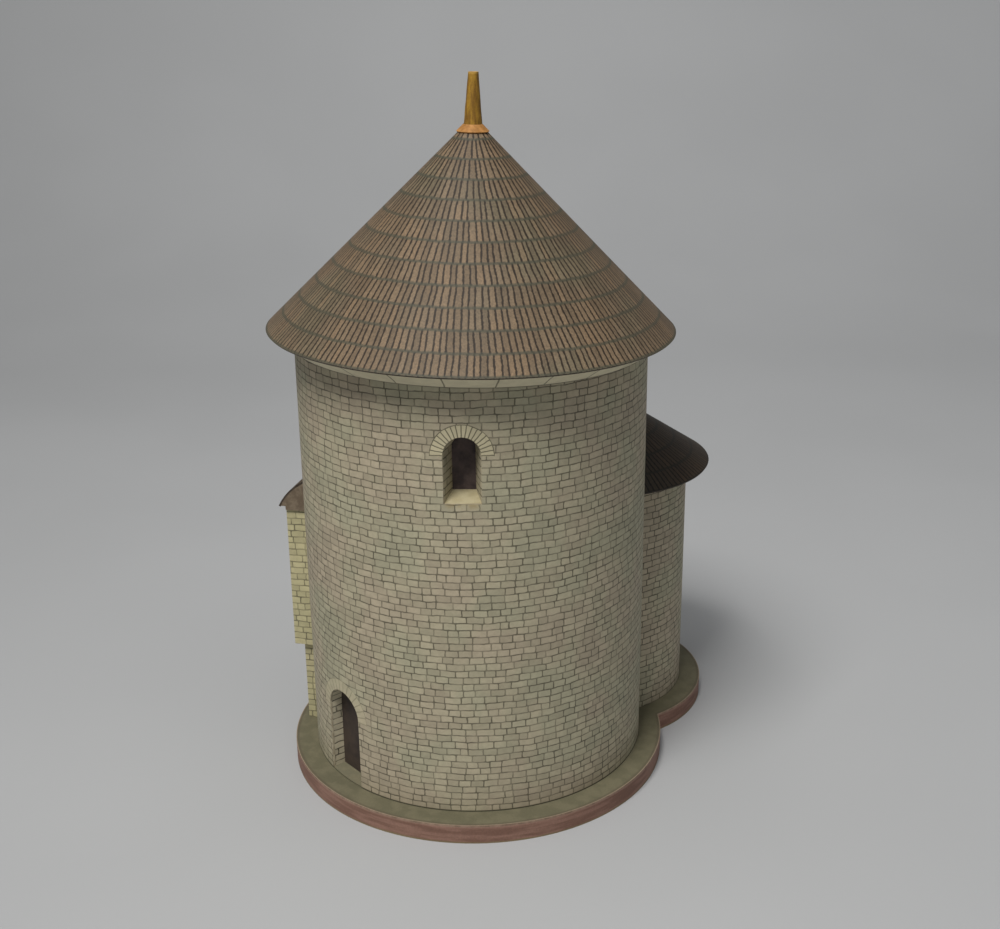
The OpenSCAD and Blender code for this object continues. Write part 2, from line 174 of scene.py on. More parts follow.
class RotundaPrint(bpy.types.PropertyGroup):
    """Sizes, in print millimetres, and inks of the printed artwork."""
    course: amount("Course", "Height of a stone course", 1.04)
    stone: amount("Stone", "Mean length of a stone", 1.9)
    joint: amount("Joint", "Width of a printed joint", 0.1)
    ring: amount("Arch ring", "Thickness of the ring of arch stones", 1.75)
    tile_pitch: amount("Tile pitch", "Length of a row of tiles down the slope", 3.455)
    tile_w: amount("Tile width", "Width of a tile", 0.93)
    tile_gap: amount("Tile gap", "Width of the dark line between tiles", 0.18)
    cornice_joints: IntProperty(name="Cornice joints", default=25, min=3,
                                description="Number of joint lines around the cornice")
    cornice_phase: angle("Cornice phase", "Turn of one of the cornice's joint lines", 38.6)
    stone_ink: colour("Stone", "Cream-grey stone", 178, 169, 143)
    stone_pink: colour("Pink stone", "Pinkish stone", 178, 163, 141)
    stone_green: colour("Green stone", "Greenish stone", 168, 165, 139)
    joint_and_shade_ink: colour("Joint", "Grey-green joint", 70, 67, 53)
    ring_ink: colour("Arch stone", "Paler stone of the arch rings", 198, 188, 156)
    stain_ink: colour("Stain", "Tan stain under the window sill", 158, 134, 82)
    oriel_ink: colour("Oriel stone", "Yellowish stone of the oriel and pier", 190, 182, 142)
    tile_ink: colour("Tile", "Brown tile", 110, 95, 76)
    tile_olive: colour("Olive tile", "Olive tile", 102, 95, 75)
    tile_orange: colour("Orange tile", "Orange-brown tile", 115, 94, 71)
    tile_gap_ink: colour("Tile gap", "Dark brown between tiles", 36, 27, 18)
    row_ink: colour("Row line", "Grey-green line under a row of tiles", 64, 65, 53)
    dark_tile_ink: colour("Dark tile", "Dark tile of the apse and oriel roofs", 112, 104, 94)
    cornice_ink: colour("Cornice", "Cream of the cornice", 206, 197, 168)
    sill_ink: colour("Sill", "Cream of the window sill", 176, 166, 134)
    ground_ink: colour("Ground", "Olive grey of the base's cover", 106, 101, 80)
    ground_dark: colour("Dark ground", "Darker mottling of the cover", 97, 93, 73)
    edge_ink: colour("Base edge", "Red-brown of the base's edge", 148, 114, 99)
    edge_dark: colour("Dark base edge", "Darker mottling of the base's edge", 126, 94, 80)
    edge_olive: colour("Base foot", "Olive line at the base's foot", 128, 116, 84)
    panel_ink: colour("Panel", "Dark violet panel behind the window", 88, 76, 74)
    door_panel_ink: colour("Door panel", "Brown-violet of the door panel", 74, 63, 55)
    threshold_ink: colour("Threshold", "Grey-green of the threshold", 118, 112, 90)
    collar_ink: colour("Collar", "Orange-brown collar", 176, 126, 70)
    spike_ink: colour("Spike", "Mustard paper of the spike", 158, 120, 42)
    spike_dark: colour("Spike streak", "Brown streaks on the spike", 122, 88, 32)
    card_ink: colour("Card", "Bare card", 196, 188, 168)


class RotundaStage(bpy.types.PropertyGroup):
    """Camera, lights and backdrop."""
    camera_turn: angle("Camera turn", "Side of the model that the camera stands on", 46.5)
    camera_out: length("Camera distance", "Distance of the camera from the nave's axis",
                       196.83 * MM)
    camera_z: length("Camera height", "Height of the camera", 116.34 * MM)
    camera_yaw: angle("Camera yaw", "How far the camera aims to the right of the axis", 1.163)
    camera_pitch: angle("Camera pitch", "How far the camera looks down", 19.314)
    camera_roll: angle("Camera roll", "How far the camera tips", -0.688)
    lens: amount("Lens", "Focal length on a 36 mm wide sensor", 49.163)
    key: amount("Key light", "Power of the soft key light in watts", 3.5)
    fill: amount("Fill light", "Power of the overhead light in watts", 1.5)
    sky: amount("Room light", "Strength of the even light of the room", 0.2)
    floor_ink: colour("Floor", "Pale grey of the floor and backdrop", 168, 169, 170)


# ---------------------------------------------------------------- wiring of node trees

class Value:
    """A number that varies over a surface or mesh. Sums made with it become Math nodes."""

    def __init__(self, tree, socket):
        self.tree = tree
        self.socket = socket

    def math(self, operation, *others):
        node = self.tree.nodes.new("ShaderNodeMath")
        node.operation = operation
        for slot, value in zip(node.inputs, (self, *others)):
            feed(self.tree, slot, value)
        return Value(self.tree, node.outputs[0])

    def __add__(self, other):
        return self.math("ADD", other)

    def __sub__(self, other):
        return self.math("SUBTRACT", other)

    def __mul__(self, other):
        return self.math("MULTIPLY", other)

    def __truediv__(self, other):
        return self.math("DIVIDE", other)

    __radd__ = __add__
    __rmul__ = __mul__

    def __abs__(self):
        return self.math("ABSOLUTE")

    def floor(self):
        return self.math("FLOOR")

    def smaller(self, other):
        return self.math("MINIMUM", other)

    def larger(self, other):
        return self.math("MAXIMUM", other)

    def below(self, other):
        return self.math("LESS_THAN", other)

    def above(self, other):
        return self.math("GREATER_THAN", other)

    def fade(self, start, end, low=0.0, high=1.0):
        """Goes smoothly from low at start to high at end."""
        node = put(self.tree, "ShaderNodeMapRange", interpolation_type="SMOOTHSTEP")
        for slot, value in zip(node.inputs, (self, start, end, low, high)):
            feed(self.tree, slot, value)
        return Value(self.tree, node.outputs[0])


def feed(tree, slot, value):
    """Links a value or a socket to a slot, or sets the slot's constant."""
    if isinstance(value, Value):
        value = value.socket
    if isinstance(value, bpy.types.NodeSocket):
        tree.links.new(value, slot)
    else:
        slot.default_value = value


def put(tree, kind, inputs=None, **settings):
    """Adds a node with its settings, and feeds its named inputs."""
    node = tree.nodes.new(kind)
    for name, value in settings.items():
        setattr(node, name, value)
    for name, value in (inputs or {}).items():
        slot = next(s for s in node.inputs if s.name == name and s.enabled)
        feed(tree, slot, value)
    return node


def new_group(name, kind, inputs, outputs):
    """Makes a node group. Returns it with its inputs by name, as values or sockets."""
    group = bpy.data.node_groups.new(name, kind)
    for label, socket_type, default in inputs:
        item = group.interface.new_socket(label, in_out="INPUT", socket_type=socket_type)
        if default is not None:
            item.default_value = default
    for label, socket_type in outputs:
        group.interface.new_socket(label, in_out="OUTPUT", socket_type=socket_type)
    entry = group.nodes.new("NodeGroupInput")
    given = {}
    for label, socket_type, _ in inputs:
        socket = entry.outputs[label]
        is_number = socket_type in ("NodeSocketFloat", "NodeSocketInt")
        given[label] = Value(group, socket) if is_number else socket
    return group, given


def give_out(group, **outputs):
    """Wires a group's outputs."""
    exit_node = group.nodes.new("NodeGroupOutput")
    for label, value in outputs.items():
        feed(group, exit_node.inputs[label], value)


def use_group(tree, group, **inputs):
    """Places a shader group in a tree and feeds its inputs."""
    node = put(tree, "ShaderNodeGroup", node_tree=group)
    for label, value in inputs.items():
        feed(tree, node.inputs[label], value)
    return {socket.name: Value(tree, socket) for socket in node.outputs}


def join(tree, x, y, z=0.0):
    """A vector from three values."""
    node = put(tree, "ShaderNodeCombineXYZ", {"X": x, "Y": y, "Z": z})
    return node.outputs[0]


def split(tree, vector):
    """The three values of a vector."""
    node = put(tree, "ShaderNodeSeparateXYZ", {"Vector": vector})
    return [Value(tree, socket) for socket in node.outputs]


def soft_noise(tree, vector, scale, detail=2.0):
    """Smooth noise from 0 to 1."""
    node = put(tree, "ShaderNodeTexNoise",
               {"Vector": vector, "Scale": scale, "Detail": detail})
    return Value(tree, node.outputs["Fac"])


def dice(tree, x, y, z=0.0):
    """A random number from 0 to 1 for each whole x, y and z."""
    node = put(tree, "ShaderNodeTexWhiteNoise", {"Vector": join(tree, x, y, z)},
               noise_dimensions="3D")
    return Value(tree, node.outputs["Value"])


def blend(tree, factor, first, second, mode="MIX"):
    """Mixes two colours."""
    node = put(tree, "ShaderNodeMix", data_type="RGBA", blend_type=mode)
    for slot, value in zip((node.inputs[0], node.inputs[6], node.inputs[7]),
                           (factor, first, second)):
        if isinstance(value, tuple) and len(value) == 3:
            value = (*value, 1)
        feed(tree, slot, value)
    return node.outputs[2]


# ---------------------------------------------------------------- shared print effects

FLOAT = "NodeSocketFloat"
VECTOR = "NodeSocketVector"


def cut_row(group, run, row, seed, spread):
    """Cuts a row into pieces of uneven length: a piece's number, and how near its end is."""
    cell = run.floor()
    ends = [cell + step + dice(group, cell + step, row, seed) * spread for step in (-1, 0, 1)]
    off_end = abs(run - ends[0]).smaller(abs(run - ends[1])).smaller(abs(run - ends[2]))
    return cell - run.below(ends[1]), off_end


def stone_courses():
    """Courses of stones with wavy, hand-drawn joints, measured in print millimetres."""
    group, given = new_group(
        "stone_courses", "ShaderNodeTree",
        [("Across", FLOAT, 0), ("Up", FLOAT, 0), ("Course", FLOAT, 1), ("Stone", FLOAT, 2),
         ("Joint", FLOAT, 0.12), ("Wave", FLOAT, 0.16), ("Seed", FLOAT, 0)],
        [("Joint", FLOAT), ("Stone", FLOAT), ("Wear", FLOAT)])
    across = given["Across"]
    up = given["Up"]
    seed = given["Seed"]
    place = join(group, across, up, seed)
    slow = soft_noise(group, place, 0.3) - 0.5
    quick = soft_noise(group, join(group, across, up, seed + 9), 1.15, 1.0) - 0.5
    level = (up + slow * given["Wave"] * 3 + quick * given["Wave"]) / given["Course"]
    row = level.floor()
    off_row = (level - row).smaller((row + 1) - level) * given["Course"]
    run = across / given["Stone"] + dice(group, row, seed, 3) * 7 + quick * 0.12
    stone_number, off_end = cut_row(group, run, row, seed, spread=0.44)
    off_joint = off_row.math("SMOOTH_MIN", off_end * given["Stone"], 0.22)
    wear = soft_noise(group, place, 0.9, 3.0)
    half = given["Joint"] * wear.fade(0.3, 0.7, 0.3, 0.68)
    joint = off_joint.fade(half, half + 0.07, 1, 0)
    strength = soft_noise(group, join(group, across, up, seed + 4), 0.55).fade(
        0.3, 0.65, 0.55, 1)
    give_out(group, Joint=joint * strength, Stone=dice(group, stone_number, row, seed + 5),
             Wear=wear)
    return group


def arch_ring():
    """A ring of arch stones about its centre, in print millimetres."""
    group, given = new_group(
        "arch_ring", "ShaderNodeTree",
        [("Across", FLOAT, 0), ("Up", FLOAT, 0), ("Inner", FLOAT, 2.6), ("Ring", FLOAT, 1.75),
         ("Stones", FLOAT, 18), ("Line", FLOAT, 0.08)],
        [("Ring", FLOAT), ("Joint", FLOAT), ("Stone", FLOAT)])
    across = given["Across"]
    up = given["Up"]
    outer = given["Inner"] + given["Ring"]
    radius = (across * across + up * up).math("SQRT")
    wave = soft_noise(group, join(group, across, up), 0.8) - 0.5
    count = up.math("ARCTAN2", across) / math.pi * given["Stones"] + wave * 0.3
    near = count.math("ROUND")
    off_side = abs(count - near) / given["Stones"] * math.pi * radius
    off_rim = abs(radius - outer + wave * 0.3)
    half = given["Line"] / 2
    joint = off_side.smaller(off_rim).fade(half, half + 0.07, 1, 0)
    inside = radius.below(outer + half) * up.above(-0.1)
    give_out(group, Ring=inside, Joint=joint, Stone=dice(group, count.floor(), 2))
    return group


def tile_rows():
    """Rows of narrow roof tiles around a cone, or across a bent sheet."""
    group, given = new_group(
        "tile_rows", "ShaderNodeTree",
        [("Turn", FLOAT, 0), ("Down", FLOAT, 0), ("Girth", FLOAT, 0), ("Flare", FLOAT, 0.7),
         ("First", FLOAT, 0.6), ("Pitch", FLOAT, 3.5), ("Width", FLOAT, 0.93),
         ("Gap", FLOAT, 0.18), ("Seed", FLOAT, 0)],
        [("Gap", FLOAT), ("Row", FLOAT), ("Tile", FLOAT), ("Along", FLOAT)])
    turn = given["Turn"]
    down = given["Down"]
    seed = given["Seed"]
    radius = given["Girth"] + given["Flare"] * down
    place = join(group, turn * radius, down, seed)
    wave = soft_noise(group, place, 0.6) - 0.5
    level = (down - given["First"] + wave * 0.35) / given["Pitch"]
    row = level.floor()
    along = level - row
    foot = given["First"] + (row + 1) * given["Pitch"]
    count = ((given["Girth"] + given["Flare"] * foot) * TURN / given["Width"]).math("ROUND")
    lean = dice(group, row, seed, 1) - 0.5
    run = turn / TURN * count + dice(group, row, seed, 2) + along * lean * 0.5 + wave * 0.25
    tile_number, off_end = cut_row(group, run, row, seed, spread=0.22)
    off_gap = off_end / count * TURN * radius
    half = given["Gap"] * soft_noise(group, place, 2.2).fade(0.3, 0.7, 0.2, 0.6)
    gap = off_gap.fade(half, half + 0.12, 1, 0)
    off_row = along.smaller(along * -1 + 1) * given["Pitch"]
    line = off_row.fade(0.1, 0.34, 1, 0)
    give_out(group, Gap=gap, Row=line, Tile=dice(group, tile_number, row, seed + 5),
             Along=along)
    return group


def paper_grain():
    """Speckle of the print and tooth of the card under it, from a point in millimetres."""
    group, given = new_group(
        "paper_grain", "ShaderNodeTree",
        [("Point", VECTOR, None), ("Speckle", FLOAT, 0.2)],
        [("Shade", FLOAT), ("Patch", FLOAT), ("Height", FLOAT)])
    speck = soft_noise(group, given["Point"], 3.4, 3.0) - 0.5
    dust = soft_noise(group, given["Point"], 9.0, 1.0) - 0.5
    patch = soft_noise(group, given["Point"], 0.11, 2.0)
    shade = (speck * 1.3 + dust * 0.7) * given["Speckle"] + 1
    give_out(group, Shade=shade, Patch=patch, Height=speck + dust * 0.5)
    return group


GROUPS = {}


def effect(name):
    """The shared node group of that name, built once."""
    makers = {"stone_courses": stone_courses, "arch_ring": arch_ring,
              "tile_rows": tile_rows, "paper_grain": paper_grain}
    if name not in GROUPS:
        GROUPS[name] = makers[name]()
    return GROUPS[name]


# ---------------------------------------------------------------- materials

def start_material(name):
    """A new material with its tree, its shader and a point on the piece in millimetres."""
    material = bpy.data.materials.new(name)
    material.use_nodes = True
    tree = material.node_tree
    shader = tree.nodes["Principled BSDF"]
    where = put(tree, "ShaderNodeTexCoord").outputs["Object"]
    scaled = put(tree, "ShaderNodeVectorMath", operation="SCALE")
    feed(tree, scaled.inputs[0], where)
    feed(tree, scaled.inputs["Scale"], 1 / MM)
    return material, tree, shader, scaled.outputs[0]


def artwork(tree):
    """The across and up places of the flat artwork, in print millimetres."""
    node = put(tree, "ShaderNodeUVMap", uv_map=PRINT_MAP)
    return split(tree, node.outputs[0])[:2]


def turned(tree, point, turn):
    """The point in the view of someone who faces that turn: right, depth and up."""
    node = put(tree, "ShaderNodeVectorRotate",
               {"Vector": point, "Angle": -turn}, rotation_type="Z_AXIS")
    return split(tree, node.outputs[0])


def finish(tree, shader, paint, point, speckle=0.2, roughness=0.62, relief=None, bump=0.35):
    """Lays the grain of print and card over a colour, and feeds the shader."""
    grain = use_group(tree, effect("paper_grain"), Point=point, Speckle=speckle)
    paint = blend(tree, 1.0, paint, grain["Shade"], "MULTIPLY")
    feed(tree, shader.inputs["Base Color"], paint)
    feed(tree, shader.inputs["Roughness"],
         grain["Height"].fade(-0.4, 0.4, roughness - 0.06, roughness + 0.08))
    shader.inputs["Specular IOR Level"].default_value = 0.28
    height = grain["Height"] * 0.02
    if relief is not None:
        height = height + relief
    bumps = put(tree, "ShaderNodeBump", {"Strength": bump, "Distance": MM, "Height": height})
    feed(tree, shader.inputs["Normal"], bumps.outputs[0])


def stone_paint(tree, point, across, up, seed, stone_ink, stretch=1.0, tint=0.6):
    """Colour and joint mask of printed stone courses."""
    art = bpy.context.scene.rotunda_print
    courses = use_group(tree, effect("stone_courses"), Across=across, Up=up,
                        Course=art.course, Stone=art.stone * stretch, Joint=art.joint,
                        Seed=seed)
    hue = soft_noise(tree, point, 0.11, 2.0)
    paint = blend(tree, hue.fade(0.46, 0.62, 0, tint), tuple(stone_ink),
                  tuple(art.stone_pink))
    paint = blend(tree, hue.fade(0.5, 0.36, 0, tint), paint, tuple(art.stone_green))
    shade = courses["Stone"].fade(0, 1, 0.9, 1.08) * courses["Wear"].fade(0.3, 0.7, 0.93, 1.05)
    paint = blend(tree, 1.0, paint, shade, "MULTIPLY")
    return paint, courses["Joint"]


def finish_stone(tree, shader, paint, joint, point, strength, speckle=0.16):
    """Draws the joints over the stones' colour and finishes the material."""
    art = bpy.context.scene.rotunda_print
    paint = blend(tree, joint * strength, paint, tuple(art.joint_and_shade_ink))
    finish(tree, shader, paint, point, speckle=speckle, relief=joint * JOINT_RELIEF)


def wall_material():
    """The nave wall's artwork: courses, the two arch rings, a stain under the sill, and a painted
    contact shadow along its foot.
    """
    art = bpy.context.scene.rotunda_print
    sheets = bpy.context.scene.rotunda_sheets
    material, tree, shader, point = start_material("nave_stone")
    across, up = artwork(tree)
    paint, joint = stone_paint(tree, point, across, up, 1.0, art.stone_ink)
    for turn, width, spring, stones, strength in openings(sheets):
        ring = use_group(tree, effect("arch_ring"), Across=across - turn * sheets.nave_r / MM,
                         Up=up - (spring - sheets.floor_z) / MM, Inner=width / 2 / MM,
                         Ring=art.ring, Stones=stones)
        stone = ring["Stone"].fade(0, 1, 0.94, 1.05)
        ring_paint = blend(tree, 1.0, tuple(art.ring_ink), stone, "MULTIPLY")
        paint = blend(tree, ring["Ring"] * strength, paint, ring_paint)
        joint = joint * (ring["Ring"] * -1 + 1) + ring["Ring"] * ring["Joint"] * strength
    below_sill = (up - sheets.window_sill_h / MM) * -1
    off_middle = abs(across - sheets.window_turn * sheets.nave_r / MM)
    half = sheets.window_w / 2 / MM
    under = below_sill.above(-0.1) * below_sill.fade(0.1, 1.1, 1, 0)
    beside = off_middle.fade(half - 0.6, half, 1, 0)
    blotch = soft_noise(tree, point, 0.9).fade(0.3, 0.6)
    paint = blend(tree, under * beside * blotch * 0.5, paint, tuple(art.stain_ink))
    # Painted shade: a dark contact shadow along the wall's foot, drawn in the joint ink together
    # with the joints.
    foot = up.fade(0.12, 0.3, 1.2, 0)
    paint = blend(tree, joint.larger(foot) * 0.8, paint, tuple(art.joint_and_shade_ink))
    finish(tree, shader, paint, point, speckle=0.16, relief=joint * JOINT_RELIEF)
    return material


def round_stone_material(name, radius, seed):
    """Stone courses for a rolled wall whose artwork is given as turn and height."""
    art = bpy.context.scene.rotunda_print
    material, tree, shader, point = start_material(name)
    turn, up = artwork(tree)
    paint, joint = stone_paint(tree, point, turn * radius / MM, up, seed, art.stone_ink)
    finish_stone(tree, shader, paint, joint, point, strength=0.85)
    return material


def flat_stone_material(name, turn, seed, stone_ink):
    """Stone courses on the flat folded walls of a bay that faces that turn."""
    material, tree, shader, point = start_material(name)
    right, depth, up = turned(tree, point, turn)
    normal = put(tree, "ShaderNodeNewGeometry").outputs["True Normal"]
    side, _, _ = turned(tree, normal, turn)
    is_side = abs(side).above(0.7)
    side_shift = 3.3
    across = blend_value(is_side, right, depth + side_shift)
    paint, joint = stone_paint(tree, point, across, up - PRINT_FLOOR, seed, stone_ink,
                               tint=0.1)
    finish_stone(tree, shader, paint, joint, point, strength=0.75)
    return material


def blend_value(choice, off, on):
    """off where choice is 0, on where it is 1."""
    return off + (on - off) * choice


def lining_material(name, turn, spring, stone_ink):
    """Courses that run round a lining: up its jambs and over its arch."""
    material, tree, shader, point = start_material(name)
    right, depth, up = turned(tree, point, turn)
    over = up - spring / MM
    radius = (right * right + over * over).math("SQRT")
    arc = over.math("ARCTAN2", abs(right)) * radius
    climb = blend_value(over.above(0), over, arc) + (spring / MM - PRINT_FLOOR)
    lining_shift = 40
    paint, joint = stone_paint(tree, point, depth + lining_shift, climb, 6.0, stone_ink,
                               stretch=2.2, tint=0.2)
    finish_stone(tree, shader, paint, joint, point, strength=0.95, speckle=0.18)
    return material


def tile_material(name, girth, flare, first, darkness, seed):
    """Tile artwork on a rolled or bent roof. Darkness 1 gives the dark roofs."""
    art = bpy.context.scene.rotunda_print
    material, tree, shader, point = start_material(name)
    turn, down = artwork(tree)
    rows = use_group(tree, effect("tile_rows"), Turn=turn, Down=down, Girth=girth,
                     Flare=flare, First=first, Pitch=art.tile_pitch, Width=art.tile_w,
                     Gap=art.tile_gap, Seed=seed)
    hue = soft_noise(tree, point, 0.09, 1.0)
    paint = blend(tree, hue.fade(0.45, 0.65, 0, 0.4), tuple(art.tile_ink),
                  tuple(art.tile_orange))
    paint = blend(tree, hue.fade(0.5, 0.35, 0, 0.5), paint, tuple(art.tile_olive))
    paint = blend(tree, rows["Tile"].above(0.86) * 0.35, paint, tuple(art.tile_orange))
    shade = rows["Tile"].fade(0, 1, 0.84, 1.12) * rows["Along"].fade(0, 1, 0.94, 1.05)
    paint = blend(tree, 1.0, paint, shade, "MULTIPLY")
    paint = blend(tree, rows["Gap"] * 0.95, paint, tuple(art.tile_gap_ink))
    paint = blend(tree, rows["Row"] * 0.72, paint, tuple(art.row_ink))
    paint = blend(tree, darkness, paint, tuple(art.dark_tile_ink), "MULTIPLY")
    finish(tree, shader, paint, point, speckle=0.9,
           relief=(rows["Gap"].larger(rows["Row"])) * -0.03)
    return material


def cornice_material(foot, rim):
    """Cream band with joint lines, between painted shadow lines at foot and rim."""
    art = bpy.context.scene.rotunda_print
    material, tree, shader, point = start_material("cornice_cream")
    turn, out = artwork(tree)
    wave = soft_noise(tree, point, 0.4) - 0.5
    count = (turn - art.cornice_phase) * (art.cornice_joints / TURN) + wave * 0.06
    off_joint = abs(count - count.math("ROUND")) * (TURN / art.cornice_joints) * (foot + out)
    joint = off_joint.fade(0.05, 0.16, 0.75, 0)
    # Painted shade: dark lines where the band meets the wall at its foot and the roof's edge at
    # its rim.
    border = out.fade(0.15, 0.45, 1, 0).larger(out.fade(rim - 0.5, rim - 0.2))
    mottle = soft_noise(tree, point, 0.5, 3.0).fade(0.3, 0.7, 0.93, 1.05)
    paint = blend(tree, 1.0, tuple(art.cornice_ink), mottle, "MULTIPLY")
    paint = blend(tree, joint.larger(border * 0.85), paint, tuple(art.joint_and_shade_ink))
    finish(tree, shader, paint, point, speckle=0.14)
    return material


def mottled_material(name, first, second, scale=0.6, speckle=0.3, roughness=0.66):
    """Two inks mottled together on card."""
    material, tree, shader, point = start_material(name)
    mottle = soft_noise(tree, point, scale, 4.0).fade(0.36, 0.64)
    paint = blend(tree, mottle, tuple(first), tuple(second))
    finish(tree, shader, paint, point, speckle=speckle, roughness=roughness)
    return material


def ground_material(sheets):
    """Mottled cover of the base, with a thin dark line inside its cut edge."""
    art = bpy.context.scene.rotunda_print
    material, tree, shader, point = start_material("base_ground")
    x, y, _ = split(tree, point)
    mottle = soft_noise(tree, point, 0.45, 5.0).fade(0.38, 0.62)
    paint = blend(tree, mottle, tuple(art.ground_ink), tuple(art.ground_dark))
    nave_in = (x * x + y * y).math("SQRT") * -1 + (sheets.nave_r + sheets.base_lip) / MM
    along = y - sheets.apse_y / MM
    apse_in = ((x * x + along * along).math("SQRT") * -1
               + (sheets.apse_r + sheets.base_lip) / MM)
    inset = nave_in.larger(apse_in)
    border = inset.fade(0.1, 0.3) * inset.fade(0.32, 0.6, 1, 0)
    paint = blend(tree, border * 0.6, paint, BORDER_INK)
    paint = blend(tree, inset.fade(0.03, 0.14, 0.8, 0), paint, WORN_RIM_INK)
    finish(tree, shader, paint, point, speckle=0.3, roughness=0.7)
    return material


def base_edge_material():
    """Red-brown strip with faint level streaks and an olive foot."""
    art = bpy.context.scene.rotunda_print
    material, tree, shader, point = start_material("base_edge_red")
    x, y, z = split(tree, point)
    streaks = soft_noise(tree, join(tree, x * 0.16, y * 0.16, z * 1.5), 1.0, 4.0)
    paint = blend(tree, streaks.fade(0.36, 0.62), tuple(art.edge_ink), tuple(art.edge_dark))
    uneven = soft_noise(tree, point, 0.35) * 0.3
    foot = (z + uneven).fade(0.2, 0.55, 1, 0)
    paint = blend(tree, foot * 0.8, paint, tuple(art.edge_olive))
    top = z.fade(2.4, 2.66)
    paint = blend(tree, top * 0.5, paint, WORN_EDGE_INK)
    finish(tree, shader, paint, point, speckle=0.35, roughness=0.7)
    return material


def spike_material():
    """Mustard paper with brown streaks that run up the spike, and a pale rubbed rim."""
    art = bpy.context.scene.rotunda_print
    material, tree, shader, point = start_material("spike_mustard")
    x, y, z = split(tree, point)
    streaks = soft_noise(tree, join(tree, x * 2.2, y * 2.2, z * 0.35), 1.0, 4.0)
    paint = blend(tree, streaks.fade(0.4, 0.66), tuple(art.spike_ink), tuple(art.spike_dark))
    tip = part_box("finial_spike")[1].z / MM
    paint = blend(tree, z.fade(tip - 0.4, tip - 0.1, 0, 0.6), paint, RUBBED_TIP_INK)
    finish(tree, shader, paint, point, speckle=0.5, roughness=0.55, relief=streaks * 0.05)
    return material


def shared_material(name):
    """Bare card and cut edges, built once."""
    art = bpy.context.scene.rotunda_print
    if name not in bpy.data.materials:
        inks = {"card_back": (tuple(art.card_ink), CARD_SHADE),
                "cut_edge": CUT_EDGE_INKS, "cover_edge": COVER_EDGE_INKS,
                "roof_edge": ROOF_EDGE_INKS}
        mottled_material(name, *inks[name], 1.2, 0.2)
    return bpy.data.materials[name]


# ---------------------------------------------------------------- sheets of card

def openings(sheets):
    """Turn, width, spring height, arch stones and ink strength of door and window."""
    door_spring = sheets.floor_z + sheets.door_h - sheets.door_w / 2
    window_top = sheets.floor_z + sheets.window_sill_h + sheets.window_h
    window_spring = window_top - sheets.window_w / 2
    return ((sheets.door_turn, sheets.door_w, door_spring, 15.0, 0.5),
            (sheets.window_turn, sheets.window_w, window_spring, 18.0, 1.0))


def new_piece(name, mesh):
    """Puts a mesh in the scene as an object at the origin."""
    piece = bpy.data.objects.new(name, mesh)
    bpy.context.scene.collection.objects.link(piece)
    return piece


def make_plain(piece):
    """Turns the result of a piece's modifiers into its plain mesh."""
    depsgraph = bpy.context.evaluated_depsgraph_get()
    shaped = piece.evaluated_get(depsgraph)
    plain = bpy.data.meshes.new_from_object(shaped, preserve_all_data_layers=True,
                                            depsgraph=depsgraph)
    plain.name = piece.name
    piece.modifiers.clear()
    piece.data = plain


def thicken(piece, thickness, edge="cut_edge"):
    """Gives a printed surface the card behind it: a bare back and a cut edge."""
    piece.data.materials.append(shared_material("card_back"))
    piece.data.materials.append(shared_material(edge))
    shell = piece.modifiers.new("card", "SOLIDIFY")
    shell.thickness = thickness
    shell.offset = -1
    shell.material_offset = 1
    shell.material_offset_rim = 2
    make_plain(piece)
    soften(piece)


def soften(piece, sharp=38):
    """Shades a piece smooth, with its folds and cut edges kept sharp."""
    piece.data.shade_smooth()
    piece.data.set_sharp_from_angle(angle=math.radians(sharp))


def settle(piece, slot, *nodes):
    """Ties a finished piece to the frame and hides the nodes that it stands for."""
    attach(piece, "root")
    if nodes:
        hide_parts(*nodes)


def dress(name, material):
    """Gives a node of the frame its material."""
    paint_all(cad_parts[name].data, material)


def paint_all(mesh, material):
    """Puts one material in all of a mesh's slots."""
    for number in range(len(mesh.materials)):
        mesh.materials[number] = material


